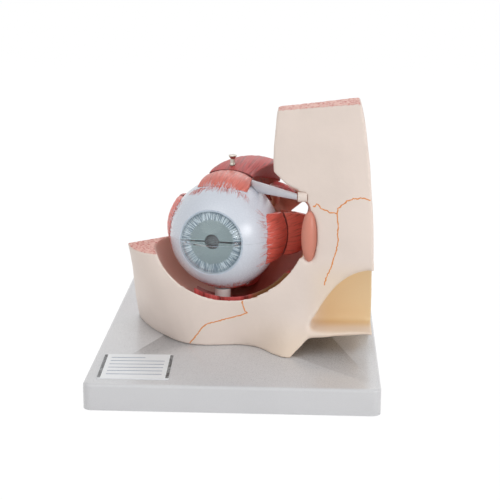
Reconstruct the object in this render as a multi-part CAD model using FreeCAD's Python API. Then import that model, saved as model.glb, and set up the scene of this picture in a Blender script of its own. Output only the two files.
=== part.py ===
import FreeCAD, Part
import math
import os

from FreeCAD import Placement, Rotation, Vector

# Three-times life-size eye in its bony orbit, on a base plate, with an eyeball that comes apart.
#
# Millimetres.  +Z is up, the front is -Y and +X is the nasal side.  The origin is the centre of the
# underside.  The eyeball's own frame has its centre at the origin, +y pointing back along the optic
# axis, +x to the nasal side and +z up; place_eye() takes a shape from that frame to the model's.

# ---------------------------------------------------------------- driving dimensions: base
plate_width = 184.0
plate_length = 260.0
plate_top = 17.5
plate_wall = 3.0
plate_corner_radius = 6.0
plate_edge_radius = 2.2
plate_rib_thickness = 2.4
plate_rib_rise = 2.0
pad_radius = 8.0
pad_thickness = 2.5
pad_stand_out = 0.5
pad_inset = 15.0
pad_boss_wall = 2.5
screw_radius = 2.0
screw_head_radius = 3.8
screw_head_height = 2.4
screw_depth_in_bone = 14.0
screw_hole_clearance = 0.05
screw_boss_radius = 6.5
screw_head_clearance = 0.5
screw_places = [(-44.0, -8.0), (4.0, -34.0), (8.0, 58.0), (54.0, 4.0)]
label_length = 45.0
label_width = 47.0
label_thickness = 0.6
label_side_inset = 7.0
label_front_inset = 10.5
label_turn_angle = 1.5
# Overlap of solids that are fused, and of cutting tools past the face they start from.
overlap = 0.5

# ---------------------------------------------------------------- driving dimensions: eyeball
eye_centre = Vector(-10.4, -25.2, 89.4)
eye_yaw = 14.0
eye_radius = 36.8
sclera_thickness = 3.2
limbus_radius = 21.8
limbus_land = 1.2
cornea_bulge = 10.0
cornea_thickness = 2.2
choroid_thickness = 2.0
retina_thickness = 0.9
retina_front = 14.0
iris_thickness = 1.2
iris_setback = 1.3
pupil_radius = 4.9
ciliary_depth = 3.6
ciliary_inner_radius = 15.0
lens_radius = 14.0
lens_front_radius = 30.0
lens_back_radius = 18.0
lens_edge = 0.8
lens_setback = 2.3
layer_gap = 0.3
seat_gap = 0.05
half_gap = 0.3
window_half_gap = 0.7
peg_radius = 0.9
peg_stand_up = 3.0
peg_depth = 3.5
peg_clearance = 0.08
peg_fit = 0.02
nerve_radius = 6.0
nerve_offset = 2.5
nerve_stump_length = 7.0
nerve_tail = 8.0
nerve_root_share = 0.8

# ---------------------------------------------------------------- driving dimensions: muscles
insertion_angle = 65.0
seam_angle = 103.0
seam_gap = 0.4
superior_width = 30.5
superior_turn = 2.0
medial_width = 29.5
medial_turn = 90.0
lateral_width = 24.5
lateral_turn = -76.0
inferior_width = 27.0
inferior_turn = 180.0
rectus_flare = 3.0
rectus_flare_depth = 1.0
rectus_thickness = 5.2
inferior_thickness = 2.0
stub_fullness = 0.62
belly_clearance = 2.8
underside_sag_share = 0.6
apex_distance = 100.0
apex_sink = 9.0
apex_sink_power = 1.4
# Behind its seam each belly passes these stations:
# (distance behind the eye's centre, crown's rise over the seam radius, drift sideways, lean,
#  share of the width, thickness, sag)
superior_stations = [(18.0, 1.9, 1.2, -10, 1.02, 6.3, 3.2), (31.0, 5.2, 5.5, -5, 1.07, 11.4, 3.4),
                     (46.0, 5.7, 8.3, 10, 1.1, 13.8, 3.4), (62.0, -2.0, 4.0, 26, 0.88, 10.5, 3.0),
                     (80.0, -15.0, -1.0, 34, 0.58, 7.0, 2.0),
                     (apex_distance, -27.0, -1.0, 40, 0.34, 4.5, 1.0)]
medial_stations = [(18.0, 2.8, 1.2, 20, 0.98, 5.6, 2.2), (28.0, 5.2, 2.0, 8, 0.88, 8.4, 1.8),
                   (44.0, 4.0, 2.0, -12, 0.72, 8.6, 1.4), (64.0, -5.5, 1.2, -32, 0.52, 7.6, 1.2),
                   (84.0, -20.0, 0.4, -36, 0.37, 5.6, 0.9),
                   (apex_distance, -28.5, 0.0, -30, 0.29, 3.6, 0.7)]
lateral_stations = [(18.0, 0.8, 0.0, 12, 0.95, 4.2, 2.2), (30.0, -2.0, 0.0, 18, 0.90, 6.0, 2.0),
                    (46.0, -10.0, 0.0, 26, 0.78, 6.6, 1.6), (64.0, -19.0, 0.0, 27, 0.56, 6.0, 1.2),
                    (84.0, -28.0, 0.0, 22, 0.40, 4.8, 0.8),
                    (apex_distance, -31.0, 0.0, 14, 0.32, 4.2, 0.7)]
inferior_stations = [(18.0, 1.0, 0.0, 8, 1.0, 4.4, 2.6), (31.0, 1.6, 0.0, 0, 0.98, 7.0, 2.6),
                     (46.0, -0.4, 0.0, -14, 0.90, 8.0, 2.4), (64.0, -11.5, 0.0, -32, 0.66, 7.0, 1.8),
                     (84.0, -22.5, 0.0, -34, 0.46, 5.6, 1.2),
                     (apex_distance, -29.5, 0.0, -30, 0.34, 4.6, 0.8)]
oblique_front_y = -48.0
oblique_back_y = -21.0
oblique_outer_x = -29.5
oblique_nasal_x = 34.0
oblique_nasal_top = 68.0
oblique_thickness = 4.0
tendon_end = Vector(38.0, -53.0, 120.5)
tendon_end_radius = 2.0
tendon_end_flatness = 0.97
tendon_end_reach = 3.0
tendon_root_way = Vector(18.3, -1.0, 32.0)
tendon_root_rise = 0.5
tendon_root_half_width = 4.3
tendon_root_half_thickness = 1.5
tendon_root_reach = 6.0
tendon_relief = 0.8
tendon_side_relief = 1.5
# The muscle behind the pulley: x, y and height over the eyeball's top; its end is measured from the tendon's.
superior_oblique_path = [(19.0, 64.6, -36.2), (21.5, 44.0, -26.7), (21.5, 14.0, -13.6), (27.0, -12.0, -7.2)]
superior_oblique_end = Vector(-1.4, 12.0, -0.5)
superior_oblique_radii = [2.0, 3.2, 3.4, 2.4, 1.4]
trochlea_radius = 3.3
trochlea_length = 6.0
trochlea_recess_reach = 3.0
pin_flange_radius = 2.7
pin_waist_radius = 1.55
pin_base_radius = 1.9
pin_height = 7.1
pin_flange_thickness = 1.0
pin_base_thickness = 1.0
pin_shank_radius = 1.1
pin_shank_length = 4.2
pin_distance = 17.0
pin_seat_rise = 0.9
pin_base_taper = 0.5
pin_flange_taper = 1.2
pin_chamfer = 0.3
pin_recess_clearance = 0.4
support_radius = 5.3
support_forward = 4.6
support_depth = 4.0
support_slot_clearance = 0.8

# ---------------------------------------------------------------- driving dimensions: removal paths
way_out_angle = 8.0
lift_share = {"choroid_lower": 0.14, "vitreous": 0.11, "choroid_upper": 0.11, "sclera_upper": 0.14}

# ---------------------------------------------------------------- driving dimensions: bone
cheek_top = 80.3
column_top = 179.4
column_top_tilt = 7.8
orbit_wall = 4.5
medial_wall_x = 12.0
medial_wall_front_y = -38.0
medial_wall_front_height = 124.0
medial_wall_back_height = 104.0
medial_wall_foot = 12.3
sac_radius = 5.2
sac_half_height = 16.8
sac_centre = Vector(46.2, -56.3, 95.0)
foramen_centre = Vector(9.6, -51.0, 29.7)
foramen_radius = 4.0
foramen_depth = 7.0
foramen_rise = 2.0
apex_ring_radius = 15.0
apex_ring_length = 16.0
apex_ring_overlap = 6.0
apex_foot_depth = 32.3
canal_clearance = 0.3

# Front of the cheek and maxilla in plan at four heights:
# (height, points from the outer end to the midline).
face_sections = [
    (plate_top, [(-75, 22), (-71, 6), (-62, -13), (-48.7, -32.8), (-33.5, -47.5), (-14, -49.5),
                 (4, -48), (14, -53.5), (22.5, -65), (30, -72.5), (55, -70), (88, -66)]),
    (36.0, [(-76, 12), (-72.5, -6), (-66, -24), (-54, -40), (-36, -50), (-14, -52),
            (6, -52), (20, -56), (32, -63), (46, -67), (64, -67.5), (88, -67)]),
    (57.0, [(-76.5, 0), (-74, -14), (-69, -30), (-58, -45), (-38, -52.5), (-14, -54),
            (8, -54), (26, -56), (42, -60), (56, -64), (70, -66.5), (88, -68)]),
    (84.0, [(-78.2, -10), (-77.4, -21), (-71, -41), (-60.5, -49.5), (-40, -53.2), (-14, -55),
            (10, -55), (30, -55.5), (46, -57.5), (60, -62), (73, -66), (88, -68.5)]),
]
# Hidden back of the lower block in plan, from the midline round to the outer end.
back_outline = [(88, 22), (62, 34), (44, 62), (30, 84), (2, 84), (-22, 60), (-52, 40)]
# Sloping cut that takes away the outer wall: three points of its plane.
outer_cut = [(-76.0, -19.5, 78.0), (-51.3, 2.1, 78.0), (-75.0, 24.0, 17.5)]
# Column above the cheek, as seen from the front: (x, z) up its orbital edge and down its midline edge.
column_orbital_edge = [(43.5, 66.0), (42.2, 80.0), (42.2, 92.0), (44.4, 102.0), (46.9, 109.5),
                       (46.2, 114.5), (42.6, 119.3), (37.8, 122.8), (32.4, 125.3), (27.0, 127.6),
                       (23.9, 131.2), (22.7, 137.0), (22.5, 146.0), (23.0, 158.0), (24.3, 172.0),
                       (26.6, 188.0)]
column_midline_edge = [(76.0, 188.0), (80.2, 171.0), (83.4, 148.0), (85.6, 125.0), (87.2, 100.0),
                       (88.0, 66.0)]
# The same column in plan: front and back faces from the orbital side to the midline.
column_front = [(16, -48.5), (30, -53), (46, -57.5), (60, -62), (73, -66), (92, -69)]
column_back = [(92, -37), (60, -36), (16, -31)]
column_lean = 4.0
column_near_y = -90.0
column_far_y = 20.0
# Orbital cavity: (y, centre x, centre z, half width and half height over the eyeball's radius).
cavity_sections = [
    (-57.0, -6.8, 97.0, 13.2, 7.0),
    (-44.0, -6.0, 95.0, 14.2, 13.2),
    (-25.0, -5.0, 93.0, 16.7, 15.7),
    (5.0, 1.0, 90.0, 12.2, 11.2),
    (40.0, 9.0, 86.0, -3.8, -3.8),
    (66.0, 14.0, 81.0, -21.8, -21.8),
]
# See-through window in the nasal wall, as seen from the front: (x, z) at window_front_y.
window_front_y = -46.0
window_depth = 125.0
window_slope = 0.222
window_drift = 0.010
window_outline = [(33.6, 102.0), (33.6, 109.6), (42.0, 116.6), (43.6, 116.5), (46.2, 112.8), (44.6, 104.0),
                  (42.0, 101.0)]
# Edge of the nasal opening, as seen from the front: (x, z) from the outer end to the midline.
nasal_edge = [(47.5, 38.0), (54.5, 50.0), (64.0, 63.5), (74.0, 71.5), (88.0, 75.5)]
nasal_depth_y = -40.0
nasal_floor = 34.0
nasal_underside = [(31.0, 14.0), (46.5, 29.0), (90.5, 32.0)]
nasal_underside_depth_y = -17.0
# Hollow side of the nose behind the column.
nose_hollow_centre = Vector(104.0, 6.0, 62.0)
nose_hollow_radius = 46.0

# ---------------------------------------------------------------- sizes that follow from these
rectus_seam_radius = eye_radius + rectus_thickness
inferior_seam_radius = eye_radius + inferior_thickness
belly_underside_radius = eye_radius + belly_clearance
label_centre = (-plate_width / 2 + label_side_inset + label_length / 2,
                -plate_length / 2 + label_front_inset + label_width / 2)
tendon_root = eye_centre + Vector(tendon_root_way).normalize() * (eye_radius + tendon_root_rise)
# Larger than the model every way: how far cutting tools and half spaces reach.
beyond = 2 * plate_length


# ---------------------------------------------------------------- helpers
def vec(x, y, z):
    return Vector(float(x), float(y), float(z))


def box(low, high):
    return Part.makeBox(high[0] - low[0], high[1] - low[1], high[2] - low[2], vec(*low))


def ball(radius, centre=(0, 0, 0)):
    return Part.makeSphere(radius, vec(*centre))


def rod(radius, start, end):
    start, end = Vector(start), Vector(end)
    way = end - start
    return Part.makeCylinder(radius, way.Length, start, way)


def spline_edge(points):
    curve = Part.BSplineCurve()
    curve.interpolate([Vector(p) for p in points])
    return curve.toShape()


def prism(outline_xz, y_from, y_to):
    """Straight prism along Y over a polygon given as (x, z)."""
    wire = Part.makePolygon([vec(x, y_from, z) for x, z in outline_xz + outline_xz[:1]])
    return Part.Face(wire).extrude(vec(0, y_to - y_from, 0))


def place_eye(shape):
    """Move a shape from the eyeball's frame to the model's frame."""
    placed = shape.copy()
    placed.Placement = Placement(eye_centre, Rotation(Vector(0, 0, 1), -eye_yaw)).multiply(placed.Placement)
    return placed


def eye_point(x, y, z):
    """A point of the eyeball's frame in the model's frame."""
    return Placement(eye_centre, Rotation(Vector(0, 0, 1), -eye_yaw)).multVec(vec(x, y, z))


def roll(shape, angle):
    """Turn a shape of the eyeball's frame about the optic axis; 0 is the top, 90 the nasal side."""
    turned = shape.copy()
    turned.rotate(Vector(0, 0, 0), Vector(0, 1, 0), angle)
    return turned


def upper(shape, gap):
    half = 2 * eye_radius
    return shape.common(box((-half, -half, gap / 2), (half, half, half)))


def lower(shape, gap):
    half = 2 * eye_radius
    return shape.common(box((-half, -half, -half), (half, half, -gap / 2)))


def save(name, shape):
    shape.exportStep("parts/%s.step" % name)
    bounds = shape.BoundBox
    print("%-28s solids %2d  volume %10.1f  valid %s  x %.1f..%.1f  y %.1f..%.1f  z %.1f..%.1f" % (
        name, len(shape.Solids), shape.Volume, shape.isValid(), bounds.XMin, bounds.XMax,
        bounds.YMin, bounds.YMax, bounds.ZMin, bounds.ZMax))


# ---------------------------------------------------------------- base plate
def pad_places():
    x = plate_width / 2 - pad_inset
    y = plate_length / 2 - pad_inset
    return [(sx * x, sy * y) for sx in (-1, 1) for sy in (-1, 1)]


def screws():
    solids = []
    for x, y in screw_places:
        under = plate_top - plate_wall - screw_head_height
        head = rod(screw_head_radius, (x, y, under), (x, y, under + screw_head_height))
        shank = rod(screw_radius, (x, y, under), (x, y, plate_top + screw_depth_in_bone))
        solids.append(head.fuse(shank).removeSplitter())
    return solids


def screw_holes(start, end):
    reach = screw_radius + screw_hole_clearance
    return [rod(reach, (x, y, start), (x, y, end)) for x, y in screw_places]


def base_plate():
    low = (-plate_width / 2, -plate_length / 2, pad_stand_out)
    high = (plate_width / 2, plate_length / 2, plate_top)
    body = box(low, high)
    upright = [e for e in body.Edges if e.BoundBox.ZLength > 0.9 * (plate_top - pad_stand_out)]
    body = body.makeFillet(plate_corner_radius, upright)
    rim = [e for e in body.Edges if e.BoundBox.ZMin > plate_top - plate_edge_radius]
    body = body.makeFillet(plate_edge_radius, rim)
    inner_low = (low[0] + plate_wall, low[1] + plate_wall, 0)
    inner_high = (high[0] - plate_wall, high[1] - plate_wall, plate_top - plate_wall)
    body = body.cut(box(inner_low, inner_high))
    ribs = []
    half_rib = plate_rib_thickness / 2
    rib_foot = pad_stand_out + plate_rib_rise
    rib_head = inner_high[2] + overlap
    for side in (-1, 1):
        y = side * plate_length / 4
        ribs.append(box((inner_low[0] - overlap, y - half_rib, rib_foot),
                        (inner_high[0] + overlap, y + half_rib, rib_head)))
        x = side * plate_width / 4
        ribs.append(box((x - half_rib, inner_low[1] - overlap, rib_foot),
                        (x + half_rib, inner_high[1] + overlap, rib_head)))
    pad_boss_radius = pad_radius + pad_boss_wall
    bosses = [rod(pad_boss_radius, (x, y, pad_stand_out), (x, y, rib_head)) for x, y in pad_places()]
    bosses += [rod(screw_boss_radius, (x, y, rib_foot), (x, y, rib_head)) for x, y in screw_places]
    body = body.multiFuse(ribs + bosses)
    seat = plate_top - plate_wall
    cuts = [rod(pad_radius + seat_gap, (x, y, 0), (x, y, pad_thickness + seat_gap)) for x, y in pad_places()]
    cuts += [rod(screw_head_radius + screw_head_clearance, (x, y, 0), (x, y, seat)) for x, y in screw_places]
    cuts += screw_holes(0, plate_top + overlap)
    return body.cut(cuts).removeSplitter()


def foot_pads():
    return [rod(pad_radius, (x, y, 0), (x, y, pad_thickness)) for x, y in pad_places()]


def label_card():
    card = box((-label_length / 2, -label_width / 2, 0), (label_length / 2, label_width / 2, label_thickness))
    card.rotate(Vector(0, 0, 0), Vector(0, 0, 1), label_turn_angle)
    card.translate(vec(label_centre[0], label_centre[1], plate_top))
    return card


# ---------------------------------------------------------------- eyeball
def limbus_plane():
    return -math.sqrt(eye_radius ** 2 - limbus_radius ** 2)


def cornea_sphere():
    """Radius and centre of the cornea's outer sphere."""
    radius = (limbus_radius ** 2 + cornea_bulge ** 2) / (2 * cornea_bulge)
    return radius, limbus_plane() - cornea_bulge + radius


def in_front_of(y):
    half = 2 * eye_radius
    return box((-half, -half, -half), (half, y, half))


def behind(y):
    half = 2 * eye_radius
    return box((-half, y, -half), (half, half, half))


def sclera():
    shell = ball(eye_radius).cut(ball(eye_radius - sclera_thickness))
    shell = shell.common(behind(limbus_plane()))
    bore = rod(limbus_radius - limbus_land, (0, -eye_radius, 0), (0, -sclera_thickness, 0))
    return shell.cut(bore)


def cornea():
    radius, centre = cornea_sphere()
    shell = ball(radius, (0, centre, 0)).cut(ball(radius - cornea_thickness, (0, centre, 0)))
    return shell.common(in_front_of(limbus_plane() - seat_gap))


def iris_back():
    return limbus_plane() + iris_setback + iris_thickness


def choroid():
    outer = eye_radius - sclera_thickness - layer_gap
    shell = ball(outer).cut(ball(outer - choroid_thickness))
    shell = shell.common(behind(iris_back() + seat_gap))
    radius = math.sqrt(outer ** 2 - iris_back() ** 2)
    ring = rod(radius - 0.2, (0, iris_back() + seat_gap, 0), (0, iris_back() + ciliary_depth, 0))
    ring = ring.cut(rod(ciliary_inner_radius, (0, -eye_radius, 0), (0, 0, 0)))
    return shell.fuse(ring).removeSplitter()


def iris():
    radius = limbus_radius - limbus_land - layer_gap
    disc = rod(radius, (0, iris_back() - iris_thickness, 0), (0, iris_back(), 0))
    return disc.cut(rod(pupil_radius, (0, -eye_radius, 0), (0, 0, 0)))


def retina():
    outer = eye_radius - sclera_thickness - layer_gap - choroid_thickness - seat_gap
    shell = ball(outer).cut(ball(outer - retina_thickness))
    return shell.common(behind(-retina_front))


def lens_front():
    return iris_back() + lens_setback


def lens_sag(radius):
    return radius - math.sqrt(radius ** 2 - lens_radius ** 2)


def lens():
    face = lens_front() + lens_sag(lens_front_radius)
    front = ball(lens_front_radius, (0, lens_front() + lens_front_radius, 0)).common(in_front_of(face))
    edge = rod(lens_radius, (0, face, 0), (0, face + lens_edge, 0))
    back_centre = face + lens_edge + lens_sag(lens_back_radius) - lens_back_radius
    back = ball(lens_back_radius, (0, back_centre, 0)).common(behind(face + lens_edge))
    return front.fuse([edge, back]).removeSplitter()


def vitreous():
    outer = (eye_radius - sclera_thickness - layer_gap - choroid_thickness - seat_gap
             - retina_thickness - layer_gap)
    face = lens_front() + lens_sag(lens_front_radius) + lens_edge
    back_centre = face + lens_sag(lens_back_radius) - lens_back_radius
    body = ball(outer).common(behind(face + layer_gap))
    return body.cut(ball(lens_back_radius + layer_gap, (0, back_centre, 0)))


def alignment_places():
    mid = eye_radius - sclera_thickness / 2
    return [(mid * math.sin(math.radians(a)), mid * math.cos(math.radians(a))) for a in (-60, 60)]


def alignment_pegs():
    return [rod(peg_radius, (x, y, -peg_depth), (x, y, peg_stand_up)) for x, y in alignment_places()]


def peg_holes(extra, start, end):
    return [rod(peg_radius + extra, (x, y, start), (x, y, end)) for x, y in alignment_places()]


# ---------------------------------------------------------------- muscles on the eyeball
def wedge_between(front_angle, back_angle):
    """Sector about the x axis between two angles from the forward axis, over the top half."""
    reach = 3 * eye_radius
    points = [vec(-reach, 0, 0)]
    steps = 8
    for i in range(steps + 1):
        angle = math.radians(front_angle + (back_angle - front_angle) * i / steps)
        points.append(vec(-reach, -reach * math.cos(angle), reach * math.sin(angle)))
    points.append(points[0])
    return Part.Face(Part.makePolygon(points)).extrude(vec(2 * reach, 0, 0))


def rectus_stub(seam_radius, width, turn_about_axis):
    """Tapered muscle end on the eyeball, thickest at its seam, turned about the optic axis."""
    gap_angle = math.degrees(seam_gap / 2 / seam_radius)
    a = math.radians(insertion_angle)
    b = math.radians(seam_angle)
    first = Vector(0, -eye_radius * math.cos(a), eye_radius * math.sin(a))
    last = Vector(0, -seam_radius * math.cos(b), seam_radius * math.sin(b))
    middle_angle = (a + b) / 2
    middle_radius = eye_radius + stub_fullness * (seam_radius - eye_radius)
    middle = Vector(0, -middle_radius * math.cos(middle_angle), middle_radius * math.sin(middle_angle))
    circle = Part.Circle(first, middle, last)
    skin = ball(circle.Radius, tuple(circle.Center))
    body = skin.common(wedge_between(insertion_angle / 2, seam_angle - gap_angle))
    half = width / 2
    reach = 2 * eye_radius
    wide = half + rectus_flare
    flare_y = first.y + rectus_flare_depth
    outline = Part.makePolygon([
        vec(-wide, -reach, 0), vec(wide, -reach, 0), vec(wide, flare_y, 0), vec(half, last.y, 0),
        vec(half, reach, 0), vec(-half, reach, 0), vec(-half, last.y, 0), vec(-wide, flare_y, 0),
        vec(-wide, -reach, 0)])
    strip = Part.Face(outline).extrude(vec(0, 0, reach))
    return roll(body.common(strip).cut(ball(eye_radius + seat_gap)), turn_about_axis)


def sink(y):
    """How far the muscles' middle lines lie below the optic axis at a distance behind the eye's centre."""
    start = -rectus_seam_radius * math.cos(math.radians(seam_angle))
    way = max(0.0, (y - start) / (apex_distance - start))
    return apex_sink * way ** apex_sink_power


def strap(stations, turn_about_axis):
    """Loft over stations (y, z, drift, lean, width, thickness, sag): a strap bent over its long way."""
    wires = []
    down = Rotation(Vector(0, 1, 0), -turn_about_axis).multVec(Vector(0, 0, -1))
    for y, z, drift, lean, width, thickness, sag in stations:
        tilt = math.radians(lean)
        up = Vector(0, math.sin(tilt), math.cos(tilt))
        centre = Vector(drift, y, z) + down * sink(y)

        def corner(x, height):
            return centre + Vector(x, 0, 0) + up * height

        half = width / 2
        foot = -thickness - sag * underside_sag_share
        outer = Part.Arc(corner(-half, -sag), corner(0, 0), corner(half, -sag)).toShape()
        inner = Part.Arc(corner(half, foot), corner(0, -thickness), corner(-half, foot)).toShape()
        right = Part.makeLine(corner(half, -sag), corner(half, foot))
        left = Part.makeLine(corner(-half, foot), corner(-half, -sag))
        wires.append(Part.Wire([outer, right, inner, left]))
    return Part.makeLoft(wires, True, False)


def rectus_belly(stations, turn_about_axis, width):
    """Fixed muscle from its seam back to the apex of the orbit, turned about the optic axis."""
    gap_angle = math.degrees(seam_gap / 2 / rectus_seam_radius)
    start = math.radians(seam_angle + gap_angle)
    sag = rectus_seam_radius - math.sqrt(rectus_seam_radius ** 2 - (width / 2) ** 2)
    seam = (-rectus_seam_radius * math.cos(start), rectus_seam_radius * math.sin(start),
            0.0, math.degrees(start) - 90, width, rectus_seam_radius - belly_underside_radius, sag)
    behind_seam = [(y, rectus_seam_radius + rise, drift, lean, width * share, thickness, drop)
                   for y, rise, drift, lean, share, thickness, drop in stations]
    belly = place_eye(roll(strap([seam] + behind_seam, turn_about_axis), turn_about_axis))
    return belly.common(cavity(-layer_gap).fuse(above_nasal_wall()))


def inferior_oblique():
    """Strap across the floor under the eyeball, from the outer side up the nasal wall."""
    outside = cavity(-layer_gap)
    layer = outside.cut(cavity(-layer_gap - oblique_thickness))
    strip = box((oblique_outer_x, oblique_front_y, 0), (oblique_nasal_x, oblique_back_y, oblique_nasal_top))
    place = support_place()
    reach = support_radius + support_slot_clearance
    return layer.common(strip).cut(rod(reach, (place.x, place.y, 0), place))


def tendon_blank():
    """Superior oblique tendon: a blade standing on the eyeball that rounds off towards the pulley."""
    way = tendon_end - tendon_root
    way.normalize()
    down = Vector(0, 0, -1)
    across = (down - way * down.dot(way)).normalize()
    wires = []
    stations = [(tendon_root - way * tendon_root_reach, tendon_root_half_width, tendon_root_half_thickness),
                (tendon_end + way * tendon_end_reach, tendon_end_radius,
                 tendon_end_radius * tendon_end_flatness)]
    for centre, major, minor in stations:
        ellipse = Part.Ellipse(centre, major, minor)
        ellipse.Axis = way
        ellipse.XAxis = across
        wires.append(Part.Wire([ellipse.toShape()]))
    return Part.makeLoft(wires, True, True)


def superior_oblique_tendon():
    past_end = box((tendon_end.x, -beyond, 0), (beyond, beyond, beyond))
    end_of_muscle = place_eye(rectus_stub(rectus_seam_radius + seat_gap, superior_width + 2 * seat_gap,
                                          superior_turn))
    cuts = [ball(eye_radius + seat_gap, tuple(eye_centre)), past_end, end_of_muscle]
    body = tendon_blank().cut(cuts)
    return max(body.Solids, key=lambda s: s.Volume)


def way_out():
    """Unit vector along which the eyeball leaves the orbit."""
    rise = math.radians(way_out_angle)
    yaw = math.radians(eye_yaw)
    return Vector(-math.sin(yaw) * math.cos(rise), -math.cos(yaw) * math.cos(rise), math.sin(rise))


def upper_way_out():
    """Unit vector along which the upper half leaves, with its share of the lifts."""
    way = way_out() + Vector(0, 0, sum(lift_share.values()))
    return way.normalize()


def tendon_way():
    """Room that the tendon needs on its way out past the column."""
    reach = 2 * eye_radius
    thick = tendon_end_radius + tendon_relief
    root = tendon_root + Vector(0, thick, 0)
    end = tendon_end + Vector(tendon_side_relief, thick, 0)
    root_half = Vector(0, 0, tendon_root_half_width)
    end_half = Vector(0, 0, thick)
    corners = [root + root_half, end + end_half, end - end_half, root - root_half]
    outline = Part.makePolygon(corners + corners[:1])
    back = Part.Face(outline)
    to_front = Vector(0, -2 * thick, 0)
    front = back.copy()
    front.translate(to_front)
    away = upper_way_out() * reach
    return [back.extrude(to_front), back.extrude(away), front.extrude(away)]


def superior_oblique_belly():
    wires = []
    eye_top = eye_centre.z + eye_radius
    path = [vec(x, y, eye_top + height) for x, y, height in superior_oblique_path]
    path.append(tendon_end + superior_oblique_end)
    sizes = superior_oblique_radii
    for i, point in enumerate(path):
        ahead = path[min(i + 1, len(path) - 1)] - path[max(i - 1, 0)]
        circle = Part.Circle(point, ahead, sizes[i])
        wires.append(Part.Wire([circle.toShape()]))
    return Part.makeLoft(wires, True, False)


# ---------------------------------------------------------------- bone
def lower_block():
    wires = []
    for height, points in face_sections:
        front = spline_edge([vec(x, y, height) for x, y in points])
        back = spline_edge([vec(x, y, height) for x, y in back_outline])
        right = Part.makeLine(vec(*points[-1], height), vec(*back_outline[0], height))
        left = Part.makeLine(vec(*back_outline[-1], height), vec(*points[0], height))
        wires.append(Part.Wire([front, right, back, left]))
    block = Part.makeLoft(wires, True, False)
    level = box((-beyond, -beyond, plate_top), (beyond, beyond, cheek_top))
    return block.common(level).cut(beyond_outer_cut())


def beyond_outer_cut():
    """Half space behind and above the sloping cut of the outer wall."""
    first, second, third = [vec(*point) for point in outer_cut]
    normal = (second - first).cross(third - first)
    if normal.z < 0:
        normal = normal * -1
    block = box((-beyond, -beyond, 0), (beyond, beyond, beyond))
    block.Placement = Placement(first, Rotation(Vector(0, 0, 1), normal))
    return block


def column():
    orbital_points = [vec(x, column_near_y, z) for x, z in column_orbital_edge]
    midline_points = [vec(x, column_near_y, z) for x, z in column_midline_edge]
    bottom = orbital_points[0].z
    height = orbital_points[-1].z - bottom
    outline = [spline_edge(orbital_points), Part.makeLine(orbital_points[-1], midline_points[0]),
               spline_edge(midline_points), Part.makeLine(midline_points[-1], orbital_points[0])]
    front_view = Part.Face(Part.Wire(outline)).extrude(vec(0, column_far_y - column_near_y, 0))
    front = spline_edge([vec(x, y, bottom) for x, y in column_front])
    back = spline_edge([vec(x, y, bottom) for x, y in column_back])
    ends = [Part.makeLine(vec(*column_front[-1], bottom), vec(*column_back[0], bottom)),
            Part.makeLine(vec(*column_back[-1], bottom), vec(*column_front[0], bottom))]
    plan_view = Part.Face(Part.Wire([front, ends[0], back, ends[1]])).extrude(vec(0, column_lean, height))
    body = front_view.common(plan_view)
    lid = box((-beyond, -beyond, 0), (beyond, beyond, beyond))
    lid.rotate(Vector(0, 0, 0), Vector(0, 1, 0), -column_top_tilt)
    lid.translate(vec((orbital_points[-1].x + midline_points[0].x) / 2, 0, column_top))
    return body.cut(lid)


def cavity(extra):
    """The orbit's hollow, or its outer skin when extra is a wall's thickness."""
    wires = []
    for section in cavity_sections:
        wires.append(cavity_ring(section, extra))
    return Part.makeLoft(wires, True, False)


def cavity_ring(section, extra):
    y, x, z, side_room, height_room = section
    ellipse = Part.Ellipse(vec(x, y, z), eye_radius + side_room + extra, eye_radius + height_room + extra)
    ellipse.Axis = Vector(0, 1, 0)
    ellipse.XAxis = Vector(1, 0, 0)
    return Part.Wire([ellipse.toShape()])


def above_nasal_wall():
    """Room over the nasal wall's sloping top edge, as far back as the orbit goes."""
    back_y = cavity_sections[-1][0]
    outline = [vec(-beyond, medial_wall_front_y, medial_wall_front_height + layer_gap),
               vec(-beyond, back_y, medial_wall_back_height + layer_gap), vec(-beyond, back_y, beyond),
               vec(-beyond, medial_wall_front_y, beyond)]
    return Part.Face(Part.makePolygon(outline + outline[:1])).extrude(vec(2 * beyond, 0, 0))


def cavity_mouth():
    mouth = Part.Face(cavity_ring(cavity_sections[0], 0.0))
    mouth.translate(vec(0, overlap, 0))
    return mouth.extrude(vec(0, -beyond, 0))


def nasal_wall():
    """Thin wall on the nasal side, from the column back to the apex."""
    skin = cavity(orbit_wall)
    front_y = cavity_sections[0][0]
    back_y = cavity_sections[-1][0]
    foot = cheek_top - medial_wall_foot
    corners = [vec(medial_wall_x, medial_wall_front_y, foot), vec(medial_wall_x, back_y, foot),
               vec(medial_wall_x, back_y, medial_wall_back_height),
               vec(medial_wall_x, medial_wall_front_y, medial_wall_front_height)]
    side = Part.makePolygon(corners + corners[:1])
    slab = Part.Face(side).extrude(vec(beyond, 0, 0))
    return skin.common(slab).common(box((medial_wall_x, front_y, 0), (beyond, back_y, beyond)))


def apex_ring():
    start = cavity_sections[-1][0] - apex_ring_overlap
    end = start + apex_ring_length
    x = eye_point(nerve_offset, apex_distance, 0).x
    z = cavity_sections[-1][2]
    ring = rod(apex_ring_radius, (x, start, z), (x, end, z))
    foot = box((x - apex_ring_radius, start, cheek_top - apex_foot_depth), (x + apex_ring_radius, end, z))
    return ring.fuse(foot)


def nerve_path():
    start = eye_point(nerve_offset, eye_radius, 0)
    end = eye_point(nerve_offset, apex_distance + nerve_tail, -apex_sink)
    return start, end


def optic_nerve():
    start, end = nerve_path()
    stump_end = eye_radius + nerve_stump_length + seam_gap
    return rod(nerve_radius, start, end).cut(place_eye(in_front_of(stump_end)))


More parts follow.
